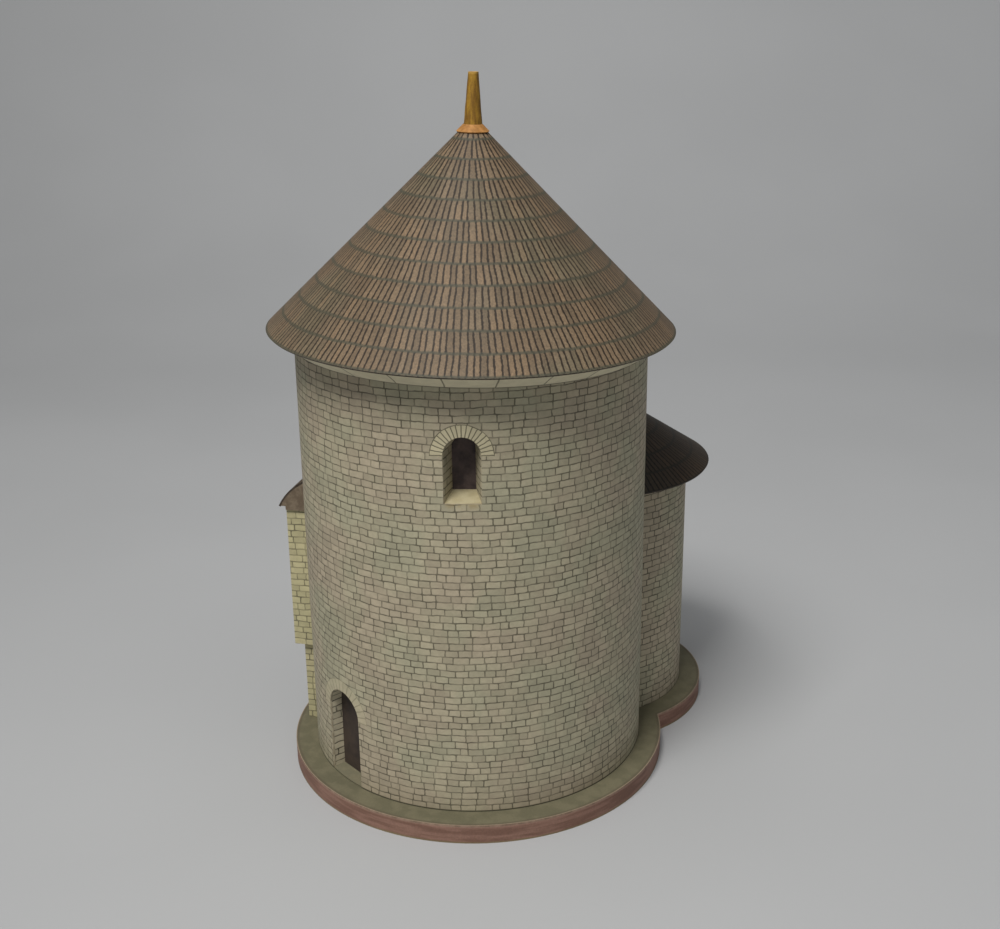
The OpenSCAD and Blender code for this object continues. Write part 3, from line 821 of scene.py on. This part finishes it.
def rolled_card_tree():
    """Geometry Nodes tree that rolls a flat sheet into a tube or a cone.

    A sheet with a butt radius ends against the round wall of that radius, whose
    axis lies that far behind the sheet's own."""
    name = "rolled_card"
    if name in bpy.data.node_groups:
        return bpy.data.node_groups[name]
    tree, given = new_group(
        name, "GeometryNodeTree",
        [("From", FLOAT, 0), ("To", FLOAT, TURN), ("Foot radius", FLOAT, 0.02),
         ("Foot height", FLOAT, 0), ("Top radius", FLOAT, 0.01), ("Top height", FLOAT, 0.01),
         ("Centre Y", FLOAT, 0), ("Butt radius", FLOAT, 0), ("Print foot", FLOAT, 0),
         ("Print top", FLOAT, 10), ("Unevenness", FLOAT, 0), ("Seed", FLOAT, 1),
         ("Around", "NodeSocketInt", 256), ("Along", "NodeSocketInt", 24),
         ("Print", "NodeSocketMaterial", None)],
        [("Geometry", "NodeSocketGeometry")])
    tree.is_modifier = True
    flat = put(tree, "GeometryNodeMeshGrid",
               {"Size X": 1.0, "Size Y": 1.0, "Vertices X": given["Around"],
                "Vertices Y": given["Along"]})
    x, y, _ = split(tree, put(tree, "GeometryNodeInputPosition").outputs[0])
    turn = given["From"] + (given["To"] - given["From"]) * (x + 0.5)
    narrowing = given["Foot radius"] - given["Top radius"]
    butt = (turn - math.pi).math("COSINE") * given["Butt radius"] * -2
    full = (given["Foot radius"] - butt.larger(given["Top radius"])) / narrowing
    least_narrowing = 0.01 * MM
    is_cone = narrowing.above(least_narrowing)
    reach = full * is_cone + (is_cone * -1 + 1)
    climb = (y + 0.5) * reach
    wave = soft_noise(tree, join(tree, turn.math("COSINE"), turn.math("SINE"),
                                 given["Seed"] + climb), 1.7, 1.0) - 0.5
    radius = given["Foot radius"] - narrowing * climb + wave * given["Unevenness"]
    height = given["Foot height"] + (given["Top height"] - given["Foot height"]) * climb
    place = join(tree, turn.math("SINE") * radius,
                 turn.math("COSINE") * radius * -1 + given["Centre Y"], height)
    print_up = given["Print foot"] + (given["Print top"] - given["Print foot"]) * climb
    printed = put(tree, "GeometryNodeStoreNamedAttribute",
                  {"Geometry": flat.outputs["Mesh"], "Name": PRINT_MAP,
                   "Value": join(tree, turn, print_up)},
                  data_type="FLOAT2", domain="CORNER")
    rolled = put(tree, "GeometryNodeSetPosition",
                 {"Geometry": printed.outputs[0], "Position": place})
    real = put(tree, "GeometryNodeRealizeInstances", {"Geometry": rolled.outputs[0]})
    painted = put(tree, "GeometryNodeSetMaterial",
                  {"Geometry": real.outputs[0], "Material": given["Print"]})
    give_out(tree, Geometry=painted.outputs[0])
    return tree


def roll_card(name, material, thickness, edge="cut_edge", **sizes):
    """A rolled sheet of printed card. Sizes are the tree's inputs by name."""
    piece = new_piece(name, bpy.data.meshes.new(name))
    roll = piece.modifiers.new("roll", "NODES")
    roll.node_group = rolled_card_tree()
    wanted = {label.replace("_", " "): value for label, value in sizes.items()}
    wanted["Print"] = material
    for item in roll.node_group.interface.items_tree:
        if item.in_out == "INPUT" and item.name in wanted:
            roll[item.identifier] = wanted[item.name]
    make_plain(piece)
    if not piece.data.polygons or piece.data.uv_layers.get(PRINT_MAP) is None:
        raise RuntimeError(f"the sheet {name} came out without faces or artwork")
    piece.data.materials.clear()
    piece.data.materials.append(material)
    piece.data.polygons.foreach_set("material_index", [0] * len(piece.data.polygons))
    thicken(piece, thickness, edge)
    return piece


def lean_over(piece, sheets):
    """Tips a piece with the nave roof, about the foot of the cornice."""
    foot = Vector((0, 0, cornice_foot_z(sheets)))
    axis = Vector((math.cos(sheets.roof_lean_turn), math.sin(sheets.roof_lean_turn), 0))
    tip = Matrix.Rotation(sheets.roof_lean, 4, axis)
    piece.data.transform(Matrix.Translation(foot) @ tip @ Matrix.Translation(-foot))


def cornice_foot_z(sheets):
    """Height of the cornice's foot on the wall."""
    return sheets.wall_top_z - sheets.cornice_rise


def apex_z(sheets):
    """Height where the nave roof's sides would meet."""
    eave_r = sheets.nave_r + sheets.eave_reach
    return sheets.wall_top_z + eave_r * math.tan(sheets.roof_slope)


def set_print(mesh, places):
    """Stores each vertex's place in the flat artwork as the print UV map."""
    layer = mesh.uv_layers.new(name=PRINT_MAP)
    for corner in mesh.loops:
        layer.data[corner.index].uv = places[corner.vertex_index]


def arch_outline(middle, width, foot, spring, radius, steps=28):
    """Outline of a round-arched opening on the flat sheet that rolls to that radius."""
    half = width / 2
    points = [(-half, foot), (half, foot)]
    for step in range(steps + 1):
        swing = math.pi * step / steps
        points.append((half * math.cos(swing), spring + half * math.sin(swing)))
    rows = 10
    sides = []
    for row in range(1, rows):
        level = foot + (spring - foot) * row / rows
        sides.append((half, level))
    points[2:2] = sides
    points += [(-half, level) for _, level in reversed(sides)]
    return [(middle + radius * math.asin(x / radius), z) for x, z in points]


def near_opening(point, outline, margin):
    """True where a point lies in an opening's bounding box, widened by the margin."""
    across = [x for x, _ in outline]
    levels = [z for _, z in outline]
    return (min(across) - margin < point[0] < max(across) + margin
            and min(levels) - margin < point[1] < max(levels) + margin)


def in_outline(point, outline):
    """True where a point lies in a closed outline."""
    crossings = 0
    for (x0, z0), (x1, z1) in zip(outline, outline[1:] + outline[:1]):
        if (z0 > point[1]) != (z1 > point[1]):
            if point[0] < x0 + (point[1] - z0) * (x1 - x0) / (z1 - z0):
                crossings += 1
    return crossings % 2 == 1


def nave_wall_mesh(sheets):
    """The nave wall's flat sheet with its openings cut out, rolled to a tube."""
    radius = sheets.nave_r
    start = (WALL_SEAM - TURN) * radius + sheets.seam
    end = WALL_SEAM * radius
    foot = sheets.floor_z
    top = sheets.wall_top_z
    columns = 240
    rows = 16
    foot_clearance = 0.1 * MM
    grid_clearance = 0.3 * MM
    door, window = openings(sheets)
    sill = sheets.floor_z + sheets.window_sill_h
    holes = [arch_outline(door[0] * radius, door[1], foot, door[2], radius),
             arch_outline(window[0] * radius, window[1], sill, window[2], radius)]
    door_left = holes[0][0][0]
    door_right = holes[0][1][0]
    steps = [start + (end - start) * number / columns for number in range(columns + 1)]
    foot_line = [(x, foot) for x in steps if x < door_left - foot_clearance]
    foot_line += [holes[0][0]] + list(reversed(holes[0][2:])) + [holes[0][1]]
    foot_line += [(x, foot) for x in steps if x > door_right + foot_clearance]
    outline = foot_line + [(x, top) for x in reversed(steps)]
    grid = [(x, foot + (top - foot) * row / rows) for row in range(1, rows) for x in steps[1:-1]]
    grid = [p for p in grid if not any(near_opening(p, hole, grid_clearance)
                                  for hole in holes)]
    points = outline + holes[1] + grid
    edges = [(n, (n + 1) % len(outline)) for n in range(len(outline))]
    first = len(outline)
    count = len(holes[1])
    edges += [(first + n, first + (n + 1) % count) for n in range(count)]
    scale = 1 / MM
    keep_inside = 1
    weld = 1e-5
    corners, _, polygons = delaunay_2d_cdt(
        [Vector((x * scale, z * scale)) for x, z in points], edges, [list(range(first))],
        keep_inside, weld)[:3]
    places = [(p.x, p.y) for p in corners]
    window_hole = [(x * scale, z * scale) for x, z in holes[1]]
    faces = []
    for face in polygons:
        middle = (sum(places[n][0] for n in face) / len(face),
                  sum(places[n][1] for n in face) / len(face))
        if not in_outline(middle, window_hole):
            faces.append(face)
    bend_scale = 0.04
    rolled = []
    for x, z in places:
        turn = x * MM / radius
        stray = noise.noise(Vector((math.cos(turn) * 2, math.sin(turn) * 2, z * bend_scale)))
        out = radius + stray * sheets.uneven * 0.5
        rolled.append((math.sin(turn) * out, -math.cos(turn) * out, z * MM))
    mesh = bpy.data.meshes.new("nave_wall")
    mesh.from_pydata(rolled, [], faces)
    mesh.validate()
    set_print(mesh, [(x, z - foot * scale) for x, z in places])
    return mesh


def base_outline(sheets, steps=300):
    """Outline of the base: a circle under the nave joined to one under the apse."""
    nave = sheets.nave_r + sheets.base_lip
    apse = sheets.apse_r + sheets.base_lip
    away = sheets.apse_y
    meet_y = (away * away + nave * nave - apse * apse) / (2 * away)
    nave_swing = math.acos(meet_y / nave)
    apse_swing = math.acos((meet_y - away) / apse)
    points = []
    for step in range(steps + 1):
        swing = nave_swing + (TURN - 2 * nave_swing) * step / steps
        points.append((nave * math.sin(swing), nave * math.cos(swing)))
    for step in range(1, steps // 2):
        swing = -apse_swing + 2 * apse_swing * step / (steps // 2)
        points.append((apse * math.sin(swing), away + apse * math.cos(swing)))
    return points


def bent_roof_mesh(sheets, columns=24, rows=16):
    """The oriel's roof: a sheet bent over its gables, trimmed to the round nave wall."""
    half = sheets.oriel_w / 2 + sheets.card
    eave_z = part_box("oriel_roof")[0].z
    run = sheets.oriel_eave_out - sheets.nave_r
    rise = sheets.oriel_roof_rise
    bend = sheets.oriel_roof_bend
    chord = math.hypot(run, rise)
    deep = math.sqrt(bend * bend - chord * chord / 4)
    centre_out = (sheets.oriel_eave_out + sheets.nave_r) / 2 - deep * rise / chord
    centre_z = eave_z + rise / 2 - deep * run / chord
    start_swing = math.asin((eave_z - centre_z) / bend)
    sideways = Vector((math.cos(sheets.oriel_turn), math.sin(sheets.oriel_turn), 0))
    ahead = Vector((math.sin(sheets.oriel_turn), -math.cos(sheets.oriel_turn), 0))
    points = []
    places = []
    for column in range(columns + 1):
        across = half - 2 * half * column / columns
        wall_out = math.sqrt(sheets.nave_r ** 2 - across ** 2)
        end_swing = math.acos((wall_out - centre_out) / bend)
        for row in range(rows + 1):
            swing = start_swing + (end_swing - start_swing) * row / rows
            out = centre_out + bend * math.cos(swing)
            up = centre_z + bend * math.sin(swing)
            points.append(ahead * out - sideways * across + Vector((0, 0, up)))
            places.append((across / MM / FLAT_GIRTH, (end_swing - swing) * bend / MM))
    faces = []
    for column in range(columns):
        for row in range(rows):
            corner = column * (rows + 1) + row
            faces.append((corner, corner + rows + 1, corner + rows + 2, corner + 1))
    mesh = bpy.data.meshes.new("oriel_roof_sheet")
    mesh.from_pydata(points, [], faces)
    set_print(mesh, places)
    return mesh


# ---------------------------------------------------------------- operators

class ROTUNDA_OT_base(bpy.types.Operator):
    """Lays the printed cover on the base board and dresses its core and edge strip"""
    bl_idname = "rotunda.base"
    bl_label = "Base"
    bl_options = {"REGISTER", "UNDO"}

    def execute(self, context):
        sheets = context.scene.rotunda_sheets
        top = sheets.floor_z
        mesh = bpy.data.meshes.new("base_cover_sheet")
        shape = bmesh.new()
        corners = [shape.verts.new((x, y, top)) for x, y in base_outline(sheets)]
        shape.faces.new(corners)
        bmesh.ops.recalc_face_normals(shape, faces=shape.faces)
        shape.to_mesh(mesh)
        shape.free()
        if mesh.polygons[0].normal.z < 0:
            mesh.flip_normals()
        mesh.materials.append(ground_material(sheets))
        cover = new_piece("base_cover_sheet", mesh)
        thicken(cover, sheets.card, "cover_edge")
        settle(cover, "ground_print", "base_cover")
        dress("base_edge", base_edge_material())
        dress("base_core", mottled_material("base_board", *BOARD_INKS, 0.5, 0.3))
        return {"FINISHED"}


class ROTUNDA_OT_nave_wall(bpy.types.Operator):
    """Rolls the nave wall from one printed sheet with its openings cut through"""
    bl_idname = "rotunda.nave_wall"
    bl_label = "Nave wall"
    bl_options = {"REGISTER", "UNDO"}

    def execute(self, context):
        sheets = context.scene.rotunda_sheets
        mesh = nave_wall_mesh(sheets)
        mesh.materials.append(wall_material())
        wall = new_piece("nave_wall", mesh)
        thicken(wall, sheets.card)
        nodes = [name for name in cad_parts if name.startswith("nave_wall_")]
        settle(wall, "stone_print", *sorted(nodes))
        return {"FINISHED"}


class ROTUNDA_OT_linings(bpy.types.Operator):
    """Prints the linings, panels, threshold and sill of the doorway and the window"""
    bl_idname = "rotunda.linings"
    bl_label = "Door and window linings"
    bl_options = {"REGISTER", "UNDO"}

    def execute(self, context):
        sheets = context.scene.rotunda_sheets
        art = context.scene.rotunda_print
        door, window = openings(sheets)
        door_print = lining_material("door_lining", door[0], door[2], LIT_DOOR_LINING_INK)
        window_print = lining_material("window_lining", window[0], window[2], art.stone_ink)
        for part in ("jamb_left", "jamb_right", "arch"):
            dress("door_" + part, door_print)
            dress("window_" + part, window_print)
        for node, print_name, first, second, scale, speckle in (
                ("door_panel", "door_panel_dark", art.door_panel_ink, ink(60, 52, 48),
                 0.5, 0.35),
                ("window_panel", "window_panel_dark", art.panel_ink, ink(62, 53, 54),
                 0.5, 0.35),
                ("door_threshold", "threshold_grey", art.threshold_ink, ink(110, 106, 86),
                 0.7, 0.25),
                ("window_sill", "sill_cream", art.sill_ink, ink(166, 155, 122), 0.6, 0.16)):
            dress(node, mottled_material(print_name, first, second, scale, speckle))
        return {"FINISHED"}


class ROTUNDA_OT_cornice(bpy.types.Operator):
    """Rolls the cornice, a cream cone from the wall's top out to the eave"""
    bl_idname = "rotunda.cornice"
    bl_label = "Cornice"
    bl_options = {"REGISTER", "UNDO"}

    def execute(self, context):
        sheets = context.scene.rotunda_sheets
        eave_r = sheets.nave_r + sheets.eave_reach
        foot_r = sheets.nave_r / math.cos(sheets.roof_lean)
        setback = 0.05 * MM
        end_r = eave_r - sheets.card - setback
        drop = sheets.card / math.cos(sheets.roof_slope)
        end_z = apex_z(sheets) - drop - end_r * math.tan(sheets.roof_slope)
        foot_z = cornice_foot_z(sheets)
        width = math.hypot(end_r - foot_r, end_z - foot_z) / MM
        ring = roll_card("cornice_ring", cornice_material(foot_r / MM, width), sheets.card,
                         From=CORNICE_SEAM, To=CORNICE_SEAM - TURN, Foot_radius=end_r,
                         Foot_height=end_z, Top_radius=foot_r, Top_height=foot_z,
                         Print_foot=width, Print_top=0.0, Along=5, Around=256)
        lean_over(ring, sheets)
        settle(ring, "cornice_print", "cornice")
        return {"FINISHED"}


class ROTUNDA_OT_nave_roof(bpy.types.Operator):
    """Rolls the nave roof, a cone of printed tiles with a glued seam at the back"""
    bl_idname = "rotunda.nave_roof"
    bl_label = "Nave roof"
    bl_options = {"REGISTER", "UNDO"}

    def execute(self, context):
        sheets = context.scene.rotunda_sheets
        art = context.scene.rotunda_print
        slope = sheets.roof_slope
        eave_r = sheets.nave_r + sheets.eave_reach
        top_r = sheets.spike_r
        eave_down = eave_r / math.cos(slope) / MM
        rows = math.floor(eave_down / art.tile_pitch)
        trim = 0.15
        printed = tile_material("nave_tiles", girth=0.0, flare=math.cos(slope),
                                first=eave_down - rows * art.tile_pitch - trim,
                                darkness=0.0, seed=2.0)
        roof = roll_card("nave_roof_sheet", printed, sheets.card, "roof_edge",
                         From=ROOF_SEAM - TURN + sheets.seam / eave_r, To=ROOF_SEAM,
                         Foot_radius=eave_r, Foot_height=sheets.wall_top_z,
                         Top_radius=top_r,
                         Top_height=apex_z(sheets) - top_r * math.tan(slope),
                         Print_foot=eave_down, Print_top=top_r / math.cos(slope) / MM,
                         Unevenness=sheets.uneven * 2, Seed=4.0, Along=30, Around=320)
        lean_over(roof, sheets)
        settle(roof, "tile_print", "nave_roof")
        return {"FINISHED"}


class ROTUNDA_OT_finial(bpy.types.Operator):
    """Wraps the collar over the roof's top and stands the rolled paper spike on it"""
    bl_idname = "rotunda.finial"
    bl_label = "Finial"
    bl_options = {"REGISTER", "UNDO"}

    def execute(self, context):
        sheets = context.scene.rotunda_sheets
        art = context.scene.rotunda_print
        tangent = math.tan(sheets.roof_slope)
        foot_z = apex_z(sheets) - sheets.spike_r * tangent
        rim_z = apex_z(sheets) - sheets.collar_r * tangent
        printed = mottled_material("collar_orange", art.collar_ink, COLLAR_SHADE, 1.1, 0.3)
        thickness = sheets.collar_rim * math.cos(sheets.roof_slope)
        gap = 0.01
        collar = roll_card("collar_cap", printed, thickness,
                           From=0.0, To=TURN - gap, Foot_radius=sheets.collar_r,
                           Foot_height=rim_z + sheets.collar_rim, Top_radius=sheets.spike_r,
                           Top_height=foot_z + sheets.collar_rim, Unevenness=sheets.uneven,
                           Seed=7.0, Along=4, Around=72)
        paint_all(collar.data, printed)
        lean_over(collar, sheets)
        settle(collar, "collar_print", "finial_collar")
        spike = new_piece("spike_roll", self.spike_mesh(sheets, foot_z))
        spike.data.materials.append(spike_material())
        soften(spike, 50)
        lean_over(spike, sheets)
        settle(spike, "spike_paper", "finial_spike")
        return {"FINISHED"}

    def spike_mesh(self, sheets, foot_z):
        """A tapering roll of paper whose outer edge shows as a step up its side."""
        around = 48
        rings = 20
        lap = 0.07 * MM
        wall = 0.2 * MM
        hollow = 0.22 * MM
        shape = bmesh.new()
        rows = []
        for ring in range(rings + 1):
            climb = ring / rings
            plain_r = sheets.spike_r + (sheets.spike_tip_r - sheets.spike_r) * climb
            row = []
            for number in range(around):
                turn = TURN * number / around
                stray = noise.noise(Vector((math.cos(turn), math.sin(turn), climb * 4)))
                out = plain_r - lap * number / around + stray * sheets.uneven
                place = (math.sin(turn) * out, -math.cos(turn) * out,
                         foot_z + sheets.spike_h * climb)
                row.append(shape.verts.new(place))
            rows.append(row)
        tip_rim = sheets.spike_tip_r - wall
        tip_z = foot_z + sheets.spike_h
        for out, drop in ((tip_rim, 0.0), (tip_rim * 0.85, hollow)):
            rows.append([shape.verts.new((math.sin(TURN * n / around) * out,
                                          -math.cos(TURN * n / around) * out, tip_z - drop))
                         for n in range(around)])
        for lower, upper in zip(rows, rows[1:]):
            for number in range(around):
                after = (number + 1) % around
                shape.faces.new((lower[number], lower[after], upper[after], upper[number]))
        shape.faces.new(rows[-1])
        shape.faces.new(list(reversed(rows[0])))
        bmesh.ops.recalc_face_normals(shape, faces=shape.faces)
        mesh = bpy.data.meshes.new("spike_roll")
        shape.to_mesh(mesh)
        shape.free()
        return mesh


class ROTUNDA_OT_apse(bpy.types.Operator):
    """Rolls the apse's wall and its half-cone roof, both butted against the nave"""
    bl_idname = "rotunda.apse"
    bl_label = "Apse"
    bl_options = {"REGISTER", "UNDO"}

    def execute(self, context):
        sheets = context.scene.rotunda_sheets
        art = context.scene.rotunda_print
        wall_turn = math.pi - math.acos(sheets.apse_r / (2 * sheets.nave_r))
        roof_turn = math.pi - math.acos(sheets.apse_eave_r / (2 * sheets.nave_r))
        height = (sheets.apse_top_z - sheets.floor_z) / MM
        wall = roll_card("apse_wall", round_stone_material("apse_stone", sheets.apse_r, 11.0),
                         sheets.card, From=math.pi - wall_turn, To=math.pi + wall_turn,
                         Foot_radius=sheets.apse_r, Foot_height=sheets.floor_z,
                         Top_radius=sheets.apse_r, Top_height=sheets.apse_top_z,
                         Centre_Y=sheets.apse_y, Print_foot=0.0, Print_top=height,
                         Unevenness=sheets.uneven, Seed=5.0, Along=14, Around=160)
        settle(wall, "apse_stone_print", "apse_wall_right", "apse_wall_end", "apse_wall_left")
        slant = math.hypot(sheets.apse_eave_r, sheets.apse_roof_h) / MM
        eave_z = sheets.floor_z + sheets.apse_eave_h
        point_r = 0.1 * MM
        rows = math.floor(slant / art.tile_pitch)
        printed = tile_material("apse_tiles", girth=0.0,
                                flare=sheets.apse_eave_r / MM / slant,
                                first=slant - rows * art.tile_pitch, darkness=0.86,
                                seed=3.0)
        roof = roll_card("apse_roof_sheet", printed, sheets.card, "roof_edge",
                         From=math.pi - roof_turn, To=math.pi + roof_turn,
                         Foot_radius=sheets.apse_eave_r, Foot_height=eave_z,
                         Top_radius=point_r, Top_height=eave_z + sheets.apse_roof_h,
                         Centre_Y=sheets.apse_y, Butt_radius=sheets.nave_r,
                         Print_foot=slant, Print_top=0.0, Unevenness=sheets.uneven,
                         Seed=6.0, Along=22, Around=200)
        settle(roof, "apse_tile_print", "apse_roof")
        return {"FINISHED"}


class ROTUNDA_OT_oriel(bpy.types.Operator):
    """Bends the oriel's roof and prints its walls, its cheeks and the pier under it"""
    bl_idname = "rotunda.oriel"
    bl_label = "Oriel and pier"
    bl_options = {"REGISTER", "UNDO"}

    def execute(self, context):
        sheets = context.scene.rotunda_sheets
        art = context.scene.rotunda_print
        mesh = bent_roof_mesh(sheets)
        mesh.materials.append(tile_material("oriel_tiles", girth=FLAT_GIRTH, flare=0.0,
                                            first=0.4, darkness=0.5, seed=8.0))
        roof = new_piece("oriel_roof_sheet", mesh)
        thicken(roof, sheets.card, "roof_edge")
        settle(roof, "oriel_tile_print", "oriel_roof")
        cheek = mottled_material("oriel_cheeks", *CHEEK_INKS, 0.9, 0.4)
        dress("oriel_gable_left", cheek)
        dress("oriel_gable_right", cheek)
        stone = flat_stone_material("oriel_stone", sheets.oriel_turn, 13.0, art.oriel_ink)
        for name in ("oriel_front", "oriel_side_left", "oriel_side_right", "oriel_floor",
                     "pier_front", "pier_side_left", "pier_side_right"):
            dress(name, stone)
        return {"FINISHED"}


class ROTUNDA_OT_stage(bpy.types.Operator):
    """Sets the floor and backdrop, the soft lights and the camera"""
    bl_idname = "rotunda.stage"
    bl_label = "Stage"
    bl_options = {"REGISTER", "UNDO"}

    def execute(self, context):
        stage = context.scene.rotunda_stage
        self.backdrop(stage)
        self.lights(context, stage)
        self.camera(context, stage)
        return {"FINISHED"}

    def backdrop(self, stage):
        """A floor that sweeps up into a wall behind the model."""
        material, tree, shader, point = start_material("backdrop_grey")
        right, depth, up = turned(tree, point, stage.camera_turn)
        cloud = soft_noise(tree, point, 0.012, 2.0).fade(0.3, 0.7, 0.98, 1.02)
        # Painted light falloff: darker towards the left, and paler up the wall.
        painted_falloff = right.fade(-420, 60, 0.66, 1) * (depth * 0.5 + up).fade(-60, 330, 1, 1.12)
        paint = blend(tree, 1.0, tuple(stage.floor_ink), cloud * painted_falloff, "MULTIPLY")
        feed(tree, shader.inputs["Base Color"], paint)
        shader.inputs["Roughness"].default_value = 0.75
        near = 0.9
        back = 0.24
        sweep = 0.22
        height = 0.9
        half_width = 1.2
        profile = [(-near, 0.0), (back * 0.5, 0.0)]
        steps = 24
        for step in range(steps + 1):
            swing = math.pi / 2 * step / steps
            profile.append((back + sweep * math.sin(swing), sweep * (1 - math.cos(swing))))
        profile.append((back + sweep, height))
        turn = stage.camera_turn
        across = Vector((math.cos(turn), math.sin(turn), 0))
        ahead = Vector((-math.sin(turn), math.cos(turn), 0))
        points = []
        for side in (-half_width, half_width):
            points += [across * side + ahead * out + Vector((0, 0, rise))
                       for out, rise in profile]
        count = len(profile)
        faces = [(n, n + count, n + count + 1, n + 1) for n in range(count - 1)]
        mesh = bpy.data.meshes.new("backdrop")
        mesh.from_pydata(points, [], faces)
        mesh.materials.append(material)
        mesh.shade_smooth()
        new_piece("backdrop", mesh)

    def lights(self, context, stage):
        """A wide key light to the left of the camera, a soft light overhead and a room."""
        middle = Vector((0, 0, 45 * MM))
        warm = (1.0, 0.985, 0.96)
        # Name, power, size in metres, side and rise in degrees, and distance in metres.
        for name, power, size, swing, rise, away in (
                ("key", stage.key, 0.22, -30, 60, 0.62),
                ("overhead", stage.fill, 0.6, 10, 82, 0.7)):
            lamp = bpy.data.lights.new(name, "AREA")
            lamp.energy = power
            lamp.size = size
            lamp.color = warm
            turn = stage.camera_turn + math.radians(swing)
            lift = math.radians(rise)
            offset = Vector((math.sin(turn) * math.cos(lift),
                             -math.cos(turn) * math.cos(lift), math.sin(lift))) * away
            light = bpy.data.objects.new(name, lamp)
            light.location = middle + offset
            light.rotation_euler = offset.to_track_quat("Z", "Y").to_euler()
            context.scene.collection.objects.link(light)
        world = bpy.data.worlds.new("room")
        world.use_nodes = True
        air = world.node_tree.nodes["Background"]
        air.inputs["Color"].default_value = (*ROOM_INK, 1)
        air.inputs["Strength"].default_value = stage.sky
        context.scene.world = world
        context.scene.view_settings.view_transform = "Standard"

    def camera(self, context, stage):
        """A camera beside the window, looking down at the model."""
        yaw = stage.camera_yaw
        pitch = stage.camera_pitch
        right = Vector((math.cos(yaw), -math.sin(yaw), 0))
        ahead = Vector((math.sin(yaw) * math.cos(pitch), math.cos(yaw) * math.cos(pitch),
                        -math.sin(pitch)))
        up = right.cross(ahead)
        tip = Matrix.Rotation(stage.camera_roll, 3, "Z")
        axes = Matrix((right, up, -ahead)).transposed() @ tip
        swing = Matrix.Rotation(stage.camera_turn, 3, "Z")
        place = swing @ Vector((0, -stage.camera_out, stage.camera_z))
        data = bpy.data.cameras.new("camera")
        data.sensor_width = SENSOR_WIDTH
        data.sensor_fit = "HORIZONTAL"
        data.lens = stage.lens
        data.clip_start = 0.005
        camera = bpy.data.objects.new("camera", data)
        camera.matrix_world = Matrix.Translation(place) @ (swing @ axes).to_4x4()
        context.scene.collection.objects.link(camera)
        context.scene.camera = camera


STEPS = (ROTUNDA_OT_stage, ROTUNDA_OT_base, ROTUNDA_OT_nave_wall, ROTUNDA_OT_linings,
         ROTUNDA_OT_cornice, ROTUNDA_OT_nave_roof, ROTUNDA_OT_finial, ROTUNDA_OT_apse,
         ROTUNDA_OT_oriel)


class ROTUNDA_PT_steps(bpy.types.Panel):
    """Lists the building steps in the sidebar"""
    bl_idname = "ROTUNDA_PT_steps"
    bl_label = "Card Rotunda"
    bl_space_type = "VIEW_3D"
    bl_region_type = "UI"
    bl_category = "Rotunda"

    def draw(self, context):
        for step in STEPS:
            self.layout.operator(step.bl_idname)
        for group in (context.scene.rotunda_sheets, context.scene.rotunda_print,
                      context.scene.rotunda_stage):
            box = self.layout.box()
            for name in group.bl_rna.properties.keys():
                if name not in ("rna_type", "name"):
                    box.prop(group, name)


CLASSES = (RotundaSheets, RotundaPrint, RotundaStage, *STEPS, ROTUNDA_PT_steps)


def register():
    for kind in CLASSES:
        bpy.utils.register_class(kind)
    bpy.types.Scene.rotunda_sheets = PointerProperty(type=RotundaSheets)
    bpy.types.Scene.rotunda_print = PointerProperty(type=RotundaPrint)
    bpy.types.Scene.rotunda_stage = PointerProperty(type=RotundaStage)


def unregister():
    del bpy.types.Scene.rotunda_stage
    del bpy.types.Scene.rotunda_print
    del bpy.types.Scene.rotunda_sheets
    for kind in reversed(CLASSES):
        bpy.utils.unregister_class(kind)


def main():
    register()
    for step in STEPS:
        group, name = step.bl_idname.split(".")
        getattr(getattr(bpy.ops, group), name)()


if __name__ == "__main__":
    main()
